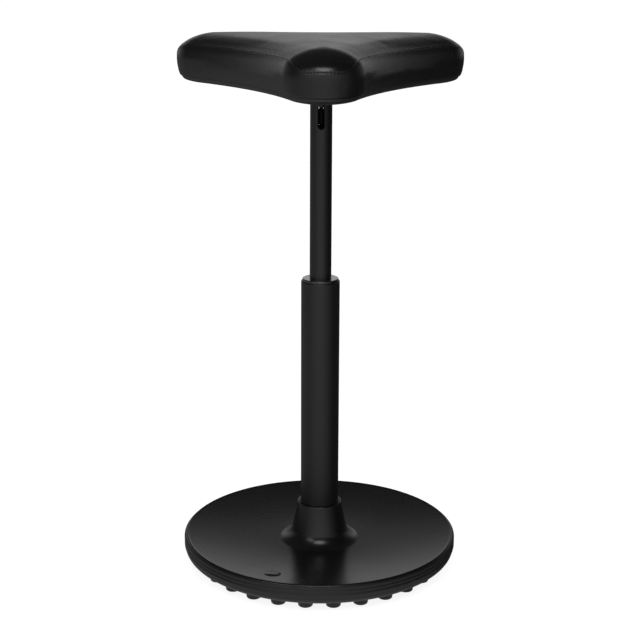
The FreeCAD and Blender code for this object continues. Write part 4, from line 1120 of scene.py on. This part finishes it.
    def swell(self) -> tuple[np.ndarray, np.ndarray]:
        """Blow up a coarse copy of the cushion as cloth.

        Returns:
            Points of the copy before, and how far each one moved, in millimetres.
        """
        carrier = self.cushion_mesh(self.grid(20, 8, 8), "cushion_form")
        remesh = carrier.modifiers.new("even_quads", "REMESH")
        remesh.mode = "VOXEL"
        remesh.voxel_size = self.proxy_voxel * MM
        form = finished_mesh(carrier, "cushion_cloth")
        before = np.array([vertex.co for vertex in form.data.vertices])
        held = form.vertex_groups.new(name="held")
        for vertex in form.data.vertices:
            low = vertex.co.z < (self.foot + self.held_height) * MM
            held.add([vertex.index], 1.0 if low else 0.0, "REPLACE")
        cloth = form.modifiers.new("swelling", "CLOTH")
        cloth.settings.use_pressure = True
        cloth.settings.uniform_pressure_force = self.pressure
        cloth.settings.vertex_group_mass = held.name
        cloth.settings.effector_weights.gravity = 0.0
        cloth.point_cache.frame_end = self.frames
        scene = bpy.context.scene
        for step in range(1, self.frames + 1):
            scene.frame_set(step)
        graph = bpy.context.evaluated_depsgraph_get()
        after = np.array([vertex.co for vertex in form.evaluated_get(graph).data.vertices])
        scene.frame_set(1)
        bpy.data.objects.remove(form)
        return before / MM, (after - before) / MM

    def swollen(self, grid: np.ndarray) -> np.ndarray:
        """Carry the swelling of the cloth over to the fine rings.

        Args:
            grid: The fine rings in millimetres.

        Returns:
            The moved rings.
        """
        before, moved = self.swell()
        tree = KDTree(len(before))
        for index, point in enumerate(before):
            tree.insert(point, index)
        tree.balance()
        shift = np.zeros_like(grid)
        for ring in range(grid.shape[0]):
            for point in range(grid.shape[1]):
                near = tree.find_n(grid[ring, point], self.neighbours)
                weights = np.array([1 / (gap + 1.0) ** 2 for _, _, gap in near])
                moves = moved[[index for _, index, _ in near]] * weights[:, None]
                shift[ring, point] = moves.sum(axis=0) / weights.sum()
        for _ in range(self.smoothing):
            shift = (np.roll(shift, 1, axis=1) + 2 * shift + np.roll(shift, -1, axis=1)) / 4
            shift[1:-1] = (shift[:-2] + 2 * shift[1:-1] + shift[2:]) / 4
        length = np.linalg.norm(shift, axis=2, keepdims=True)
        shift *= self.swell_cap / (self.swell_cap + length)
        seam = grid[self.seam_row]
        above = grid[:, :, 2:3] - self.foot - self.still_height
        off_foot = np.clip(above / self.still_fade, 0, 1)
        away = np.linalg.norm(grid - seam[None], axis=2, keepdims=True)
        off_seam = np.clip(away / self.still_fade, 0, 1)
        free = off_foot * off_seam
        LOG.info("cushion swells by up to %.1f mm", float(np.linalg.norm(shift * free, axis=2).max()))
        return grid + shift * free

    @property
    def seam_row(self) -> int:
        """Number of the ring on the seam: three rings of the fold lie below the side."""
        return self.side_rows + 3

    def sewn(self, grid: np.ndarray) -> tuple[np.ndarray, int]:
        """Draw a groove into the cushion along its seam.

        Args:
            grid: The rings in millimetres.

        Returns:
            The rings with those of the groove added, and the number of the seam's ring.
        """
        seam_row = self.seam_row
        path = grid[seam_row]
        below = grid[seam_row - 1] - path
        above = grid[seam_row + 1] - path
        below /= np.linalg.norm(below, axis=1, keepdims=True)
        above /= np.linalg.norm(above, axis=1, keepdims=True)
        ahead = np.roll(path, -1, axis=0) - np.roll(path, 1, axis=0)
        inward = np.cross(above - below, ahead)
        inward /= np.linalg.norm(inward, axis=1, keepdims=True)
        extra = []
        shares = (1.0, 0.72, 0.45, 0.2)
        for side, shares_in_order in ((below, shares), (above, shares[::-1])):
            rows = []
            for share in shares_in_order:
                drop = self.groove_depth * (1 - share) ** 1.5
                lift = self.groove_lip * math.sin(math.pi * share)
                rows.append(path + side * share * self.groove_reach + inward * (drop - lift))
            extra.append(rows)
        floor = path + inward * self.groove_depth
        rings = list(grid[:seam_row]) + extra[0] + [floor] + extra[1] + list(grid[seam_row + 1:])
        return np.array(rings), seam_row + len(shares)

    def mark_seam(self, piece: bpy.types.Object, grid: np.ndarray, seam_row: int) -> None:
        """Store on every corner how far along and away from the seam it lies, in millimetres.

        Args:
            piece: The cushion.
            grid: Its rings.
            seam_row: Number of the ring on the seam.
        """
        path = grid[seam_row]
        steps = np.linalg.norm(np.roll(path, -1, axis=0) - path, axis=1)
        along = np.concatenate([[0.0], np.cumsum(steps)[:-1]])
        stitches = round(steps.sum() / STITCH_GAP)
        along *= stitches * STITCH_GAP / steps.sum()
        away = np.linalg.norm(grid - path[None], axis=2)
        values = {
            "along_seam": np.concatenate([np.tile(along, grid.shape[0]), [0.0, 0.0]]),
            "seam_distance": np.concatenate([away.reshape(-1), [100.0, 100.0]]),
        }
        for name, numbers in values.items():
            attribute = piece.data.attributes.new(name, "FLOAT", "POINT")
            attribute.data.foreach_set("value", numbers.astype(np.float32))

    def build(self, paint: Paint) -> None:
        """Make the cushion and the stitches of its seam.

        Args:
            paint: The finishes.
        """
        grid = self.grid(self.arc_steps, self.side_rows, self.crown_rows)
        grid = self.swollen(grid)
        grid, seam_row = self.sewn(grid)
        cushion = self.cushion_mesh(grid, "cushion")
        cushion.data.materials.append(paint.by_slot[Slot.LEATHERETTE.value])
        self.mark_seam(cushion, grid, seam_row)
        hand_over(cushion, Body.LIFT, Slot.LEATHERETTE, "seat_cover", "seat_foam")
        hand_over(self.stitches(grid[seam_row], paint), Body.LIFT, Slot.LEATHERETTE)

    def stitches(self, path: np.ndarray, paint: Paint) -> bpy.types.Object:
        """Lay one stitch after another along the seam.

        Args:
            path: Points of the seam in millimetres.
            paint: The finishes.

        Returns:
            All the stitches as one piece.
        """
        sizes = {"Gap": STITCH_GAP, "Length": self.stitch_len, "Thread": self.thread_r}
        sizes = {label: ("NodeSocketFloat", size * MM) for label, size in sizes.items()}
        tool = NodeTool("seam_stitches", sizes)
        line = tool.add("GeometryNodeMeshToCurve", {0: tool.source["Geometry"]})
        paced = {"Curve": line.outputs[0], "Length": tool.source["Gap"]}
        spots = tool.add("GeometryNodeCurveToPoints", paced, mode="LENGTH")
        ahead = {"Vector": spots.outputs["Tangent"]}
        facing = tool.add("FunctionNodeAlignRotationToVector", ahead, axis="Z")
        slim = {0: tool.source["Length"], 1: tool.source["Thread"]}
        slimness = tool.add("ShaderNodeMath", slim, operation="DIVIDE")
        half = tool.add("ShaderNodeMath", {0: slimness.outputs[0], 1: 2.0}, operation="DIVIDE")
        round_bead = {"Segments": 8, "Rings": 6, "Radius": tool.source["Thread"]}
        bead = tool.add("GeometryNodeMeshUVSphere", round_bead)
        shape = tool.add("ShaderNodeCombineXYZ", {"X": 1.0, "Y": 1.0, "Z": half.outputs[0]})
        stitch = {
            "Points": spots.outputs["Points"], "Instance": bead.outputs["Mesh"],
            "Rotation": facing.outputs[0], "Scale": shape.outputs[0],
        }
        laid = tool.add("GeometryNodeInstanceOnPoints", stitch)
        tool.finish(laid.outputs[0], paint.thread)
        mesh = bpy.data.meshes.new("seam_path")
        count = len(path)
        mesh.from_pydata((path * MM).tolist(), [(step, (step + 1) % count) for step in range(count)], [])
        return tool.run(link("seam_path", mesh), "seam_stitches")


@dataclass
class Shell:
    """The moulded tray under the seat, with a keyhole for hub and lever and a boss in each lobe."""

    wall: float = 2.5
    floor_z: float = 625.6
    rows: tuple[tuple[float, float], ...] = (
        (6.0, 635.8), (6.5, 634.4), (9.2, 631.7), (16.0, 629.3), (25.0, 627.5), (35.0, 626.2),
        (44.0, 625.6),
    )
    steps: int = 64
    floor_rings: tuple[float, float] = (0.66, 0.33)
    keyhole_r: float = 18.8
    keyhole_half: float = 8.0
    keyhole_reach: float = 30.8
    boss_ring_r: float = 120.0
    boss_r: float = 6.5
    boss_top: float = 631.0
    recess_r: float = 4.6
    recess_top: float = 628.0
    segments: int = 48

    def build(self, paint: Paint) -> None:
        """Make the tray with its holes.

        Args:
            paint: The finishes.
        """
        tray = self.tray()
        spots = []
        for lobe in range(LOBES):
            turn = NOSE_TURN + lobe * LOBE_STEP
            spots.append((self.boss_ring_r * math.cos(turn), self.boss_ring_r * math.sin(turn)))
        inside = self.floor_z + self.wall / 2
        below = self.floor_z - self.wall
        for spot in spots:
            self.combine(tray, self.post("boss", self.boss_r, inside, self.boss_top, spot), Joining.ADD)
        for spot in spots:
            recess = self.post("recess", self.recess_r, below, self.recess_top, spot)
            self.combine(tray, recess, Joining.CUT)
        hole = prism("keyhole", self.keyhole(), below, self.floor_z + 2 * self.wall)
        self.combine(tray, hole, Joining.CUT)
        shell = finished_mesh(tray, "under_seat_shell", 40.0)
        shell.data.materials.clear()
        # The tray's paler colour is partly painted reflection of the light floor.
        shell.data.materials.append(paint.by_slot[Slot.SEAT_SHELL.value])
        for polygon in shell.data.polygons:
            polygon.material_index = 0
        hand_over(shell, Body.LIFT, Slot.SEAT_SHELL, "seat_shell")

    def tray(self) -> bpy.types.Object:
        """Make the tray without its holes: its outside down to the floor, and its inside back up.

        Returns:
            The closed tray.
        """
        seat = Seat()
        place, way, _ = seat.outline(self.steps)
        outside = np.array(smooth_rows(self.rows, 6))
        inside = outside[::-1].copy()
        inside[:, 0] += self.wall
        top = outside[0, 1]
        lift = np.clip((top - inside[:, 1]) / (top - self.floor_z), 0, 1)
        inside[:, 1] += self.wall * lift
        rows = np.vstack([outside, inside])
        rings = [seat.ring(place, way, np.full(len(place), inset), height) for inset, height in rows]
        edge, lining = rings[len(outside) - 1], rings[len(outside)]
        floor = [scaled(edge, share) for share in self.floor_rings]
        ceiling = [scaled(lining, share) for share in reversed(self.floor_rings)]
        lower = rings[:len(outside)] + floor
        upper = ceiling + rings[len(outside):]
        return self.closed(np.array(lower), np.array(upper))

    def closed(self, lower: np.ndarray, upper: np.ndarray) -> bpy.types.Object:
        """Skin the outside and the inside and join them at the rim.

        Args:
            lower: Rings of the outside, from the rim to the middle of the floor.
            upper: Rings of the inside, from the middle of the floor to the rim.

        Returns:
            The closed tray.
        """
        count = lower.shape[1]
        corners = np.vstack([lower.reshape(-1, 3), upper.reshape(-1, 3)]) * MM
        numbers = np.arange(len(corners)).reshape(-1, count)
        ahead = np.roll(numbers, -1, axis=1)
        faces = []
        skins = [range(len(lower) - 1), range(len(lower), len(numbers) - 1)]
        for row in [row for skin in skins for row in skin] + [len(numbers) - 1]:
            after = (row + 1) % len(numbers)
            faces += np.stack([numbers[row], ahead[row], ahead[after], numbers[after]], axis=-1).tolist()
        faces.append(numbers[len(lower) - 1].tolist())
        faces.append(numbers[len(lower)].tolist())
        tray = solid("shell_tray", corners.tolist(), faces)
        face_outwards(tray.data)
        return tray

    def post(
        self, name: str, radius: float, low: float, high: float, spot: tuple[float, float]
    ) -> bpy.types.Object:
        """Make a round post, to add to the tray or to cut from it.

        Args:
            name: Its name.
            radius: Its radius.
            low: Height of its foot.
            high: Height of its top.
            spot: X and Y of its axis.

        Returns:
            The closed post.
        """
        turns = [2 * math.pi * step / self.segments for step in range(self.segments)]
        edge = [(spot[0] + radius * math.cos(turn), spot[1] + radius * math.sin(turn)) for turn in turns]
        return prism(name, edge, low, high)

    def keyhole(self) -> list[tuple[float, float]]:
        """Draw the hole: round for the hub, with a straight gap behind it for the lever.

        Returns:
            X and Y of its corners, anticlockwise.
        """
        mouth = math.asin(self.keyhole_half / self.keyhole_r)
        turns = np.linspace(math.pi / 2 + mouth, 5 * math.pi / 2 - mouth, self.segments + 1)
        edge = [(self.keyhole_r * math.cos(turn), self.keyhole_r * math.sin(turn)) for turn in turns]
        half, reach = self.keyhole_half, self.keyhole_reach
        return edge + [(half, reach), (-half, reach)]

    def combine(self, tray: bpy.types.Object, tool: bpy.types.Object, joining: Joining) -> None:
        """Add a tool to the tray or cut it from the tray, and remove the tool.

        Args:
            tray: The tray, which gets the new mesh.
            tool: The solid to add or cut.
            joining: Which of the two.
        """
        change = tray.modifiers.new(tool.name, "BOOLEAN")
        change.operation = joining.value
        change.solver = "EXACT"
        change.object = tool
        graph = bpy.context.evaluated_depsgraph_get()
        mesh = bpy.data.meshes.new_from_object(tray.evaluated_get(graph))
        tray.modifiers.clear()
        tray.data = mesh
        bpy.data.objects.remove(tool)


def scaled(ring: np.ndarray, share: float) -> np.ndarray:
    """Draw a ring in towards the column's axis at its own height."""
    return ring * np.array([share, share, 1.0])


def prism(name: str, edge: list[tuple[float, float]], low: float, high: float) -> bpy.types.Object:
    """An upright prism on an anticlockwise edge.

    Args:
        name: Its name.
        edge: X and Y of its corners in millimetres.
        low: Height of its foot.
        high: Height of its top.

    Returns:
        The closed prism.
    """
    count = len(edge)
    corners = [(x * MM, y * MM, z * MM) for z in (low, high) for x, y in edge]
    faces = [tuple(reversed(range(count))), tuple(range(count, 2 * count))]
    faces += [(step, (step + 1) % count, count + (step + 1) % count, count + step) for step in range(count)]
    return solid(name, corners, faces)


def smooth_rows(marks: tuple[tuple[float, float], ...], steps: int) -> list[tuple[float, float]]:
    """A soft curve through a few marks.

    Args:
        marks: Inset and height of each mark.
        steps: Points from one mark to the next.

    Returns:
        Points of the curve, the marks among them.
    """
    points = [Vector(marks[0])] + [Vector(mark) for mark in marks] + [Vector(marks[-1])]
    rows = []
    for index in range(1, len(points) - 2):
        before, start, end, after = points[index - 1:index + 3]
        for step in range(steps):
            share = step / steps
            bend = (
                start * 2 + (end - before) * share
                + (before * 2 - start * 5 + end * 4 - after) * share ** 2
                + (start * 3 - before - end * 3 + after) * share ** 3
            )
            rows.append((bend.x / 2, bend.y / 2))
    rows.append(marks[-1])
    return rows


@dataclass(frozen=True)
class Surround:
    """How bright the studio looks in a reflection on each side of the stool, where 1 is white."""

    front: float
    back: float
    left: float
    right: float

    def brightness(self, tree: bpy.types.NodeTree, way: bpy.types.NodeSocket) -> bpy.types.NodeSocket:
        """Blend the four sides by a direction.

        Args:
            tree: The tree of the world or the floor.
            way: A direction, or a place seen from the column's foot.

        Returns:
            The brightness that way.
        """
        parts = add_node(tree, "ShaderNodeSeparateXYZ", {0: way})
        level_way = {"X": parts.outputs["X"], "Y": parts.outputs["Y"], "Z": 0.0}
        flat = add_node(tree, "ShaderNodeCombineXYZ", level_way)
        unit = add_node(tree, "ShaderNodeVectorMath", {0: flat.outputs[0]}, operation="NORMALIZE").outputs[0]
        total = 0.0
        sides = {(0, -1, 0): self.front, (0, 1, 0): self.back, (-1, 0, 0): self.left, (1, 0, 0): self.right}
        for side, level in sides.items():
            facing = add_node(tree, "ShaderNodeVectorMath", {0: unit, 1: side}, operation="DOT_PRODUCT")
            clipped = {0: facing.outputs["Value"], 1: 0.0}
            ahead = add_node(tree, "ShaderNodeMath", clipped, operation="MAXIMUM")
            share = add_node(tree, "ShaderNodeMath", {0: ahead.outputs[0], 1: 2.0}, operation="POWER")
            part = {0: share.outputs[0], 1: level, 2: total}
            total = add_node(tree, "ShaderNodeMath", part, operation="MULTIPLY_ADD").outputs[0]
        return total


@dataclass(frozen=True)
class SoftBox:
    """A plain rectangular lamp that faces the middle of the stool."""

    name: str
    place: tuple[float, float, float]
    size: tuple[float, float]
    power: float

    def hang(self, middle: float) -> None:
        """Hang the lamp.

        Args:
            middle: Height of the stool's middle, in metres.
        """
        data = bpy.data.lights.new(self.name, "AREA")
        data.shape = "RECTANGLE"
        data.size, data.size_y = self.size
        data.energy = self.power
        lamp = bpy.data.objects.new(self.name, data)
        lamp.location = self.place
        aim = Vector((0, 0, middle)) - Vector(self.place)
        lamp.rotation_euler = aim.to_track_quat("-Z", "Y").to_euler()
        bpy.context.scene.collection.objects.link(lamp)


@dataclass
class Studio:
    """Camera, soft boxes, white floor and surroundings; lengths in metres, angles in degrees."""

    camera_distance: float = 1.8286
    camera_height: float = 0.8191
    camera_turn: float = -0.8
    heading: float = -0.788
    pitch: float = 15.016
    roll: float = 0.255
    lens: float = 82.03
    sensor: float = 36.0
    sight: float = 200.0
    middle: float = 0.4
    soft_boxes: tuple[SoftBox, ...] = (
        SoftBox("key_softbox", (-1.5, -1.9, 1.7), (1.0, 1.0), 6.0),
        SoftBox("overhead_softbox", (0.0, -1.6, 2.0), (1.2, 0.8), 13.0),
    )
    floor_size: float = 60.0
    floor_shade: str = "#8c8c8c"
    floor_glow: float = 0.88
    band_low: float = 0.22
    band_high: float = 0.44
    plain_light: float = 0.6
    floor_mirrored: Surround = Surround(front=0.6, back=0.04, left=0.3, right=0.02)
    low_mirrored: Surround = Surround(front=0.9, back=0.6, left=0.07, right=0.02)
    high_mirrored: Surround = Surround(front=0.02, back=0.05, left=0.05, right=0.01)

    def build(self) -> None:
        """Set up the studio, in plain Standard colours."""
        self.camera()
        self.floor()
        for box in self.soft_boxes:
            box.hang(self.middle)
        self.world()
        bpy.context.scene.view_settings.view_transform = "Standard"

    def camera(self) -> None:
        """Place the camera at the photograph's point of view."""
        turn = math.radians(self.camera_turn)
        data = bpy.data.cameras.new("camera")
        data.lens = self.lens
        data.sensor_width = self.sensor
        data.clip_end = self.sight
        camera = bpy.data.objects.new("camera", data)
        away = self.camera_distance
        camera.location = (away * math.sin(turn), -away * math.cos(turn), self.camera_height)
        tilt = Euler((math.radians(90 - self.pitch), 0, 0)).to_matrix()
        heading = Euler((0, 0, math.radians(self.heading))).to_matrix()
        lean = Euler((0, 0, math.radians(self.roll))).to_matrix()
        camera.rotation_euler = (heading @ tilt @ lean).to_euler()
        bpy.context.scene.collection.objects.link(camera)
        bpy.context.scene.camera = camera

    def mirrored(self, tree: bpy.types.NodeTree) -> bpy.types.NodeSocket:
        """Tell rays that come from a glossy or clear surface from all others.

        Args:
            tree: The tree of the world or the floor.

        Returns:
            1 for such a ray, else 0.
        """
        seen = add_node(tree, "ShaderNodeLightPath").outputs
        either = {0: seen["Is Glossy Ray"], 1: seen["Is Transmission Ray"]}
        return add_node(tree, "ShaderNodeMath", either, operation="MAXIMUM").outputs[0]

    def floor(self) -> None:
        """Lay a plain white floor that runs out of sight and keeps the stool's shadow."""
        half = self.floor_size / 2
        corners = [(-half, -half, 0), (half, -half, 0), (half, half, 0), (-half, half, 0)]
        floor = solid("floor", corners, [(0, 1, 2, 3)])
        material = bpy.data.materials.new("studio_floor")
        material.use_nodes = True
        tree = material.node_tree
        tree.nodes.clear()
        place = add_node(tree, "ShaderNodeTexCoord").outputs["Object"]
        reflected = self.floor_mirrored.brightness(tree, place)
        seen = {0: self.mirrored(tree), 2: self.plain_light, 3: reflected}
        bounced = add_node(tree, "ShaderNodeMix", seen)
        glow = add_node(tree, "ShaderNodeEmission", {"Strength": bounced.outputs[0]})
        matt = add_node(tree, "ShaderNodeBsdfDiffuse", {"Color": linear(self.floor_shade)})
        white = add_node(tree, "ShaderNodeEmission", {"Strength": self.floor_glow})
        lit = add_node(tree, "ShaderNodeAddShader", {0: matt.outputs[0], 1: white.outputs[0]})
        camera_ray = add_node(tree, "ShaderNodeLightPath").outputs["Is Camera Ray"]
        shown = add_node(tree, "ShaderNodeMixShader", {0: camera_ray, 1: glow.outputs[0], 2: lit.outputs[0]})
        add_node(tree, "ShaderNodeOutputMaterial", {0: shown.outputs[0]})
        floor.data.materials.append(material)
        floor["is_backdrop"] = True

    def world(self) -> None:
        """White behind the stool, an even plain light, and pale surroundings in its reflections."""
        world = bpy.data.worlds.new("studio")
        bpy.context.scene.world = world
        world.use_nodes = True
        tree = world.node_tree
        tree.nodes.clear()
        way = add_node(tree, "ShaderNodeTexCoord").outputs["Generated"]
        height = add_node(tree, "ShaderNodeSeparateXYZ", {0: way}).outputs["Z"]
        band = {"Value": height, "From Min": self.band_low, "From Max": self.band_high}
        high = add_node(tree, "ShaderNodeMapRange", band, interpolation_type="SMOOTHSTEP")
        low = self.low_mirrored.brightness(tree, way)
        above = self.high_mirrored.brightness(tree, way)
        room = add_node(tree, "ShaderNodeMix", {0: high.outputs[0], 2: low, 3: above})
        bounced = {0: self.mirrored(tree), 2: self.plain_light, 3: room.outputs[0]}
        lit = add_node(tree, "ShaderNodeMix", bounced)
        camera_ray = add_node(tree, "ShaderNodeLightPath").outputs["Is Camera Ray"]
        shown = add_node(tree, "ShaderNodeMix", {0: camera_ray, 2: lit.outputs[0], 3: 1.0})
        white = {"Color": (1, 1, 1, 1), "Strength": shown.outputs[0]}
        light = add_node(tree, "ShaderNodeBackground", white)
        add_node(tree, "ShaderNodeOutputWorld", {0: light.outputs[0]})


def main() -> None:
    """Build the stool's looks round the CAD frame, piece by piece."""
    logging.basicConfig(level=logging.INFO, format="%(message)s")
    paint = Paint()
    paint.dress_nodes()
    Base().build(paint)
    Seat().build(paint)
    Shell().build(paint)
    Studio().build()
    boxes = {"cad": CAD_BOX, "visual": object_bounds()}
    boxes = {name: [list(corner) for corner in box] for name, box in boxes.items()}
    LOG.info("boxes %s", boxes)


if __name__ == "__main__":
    main()
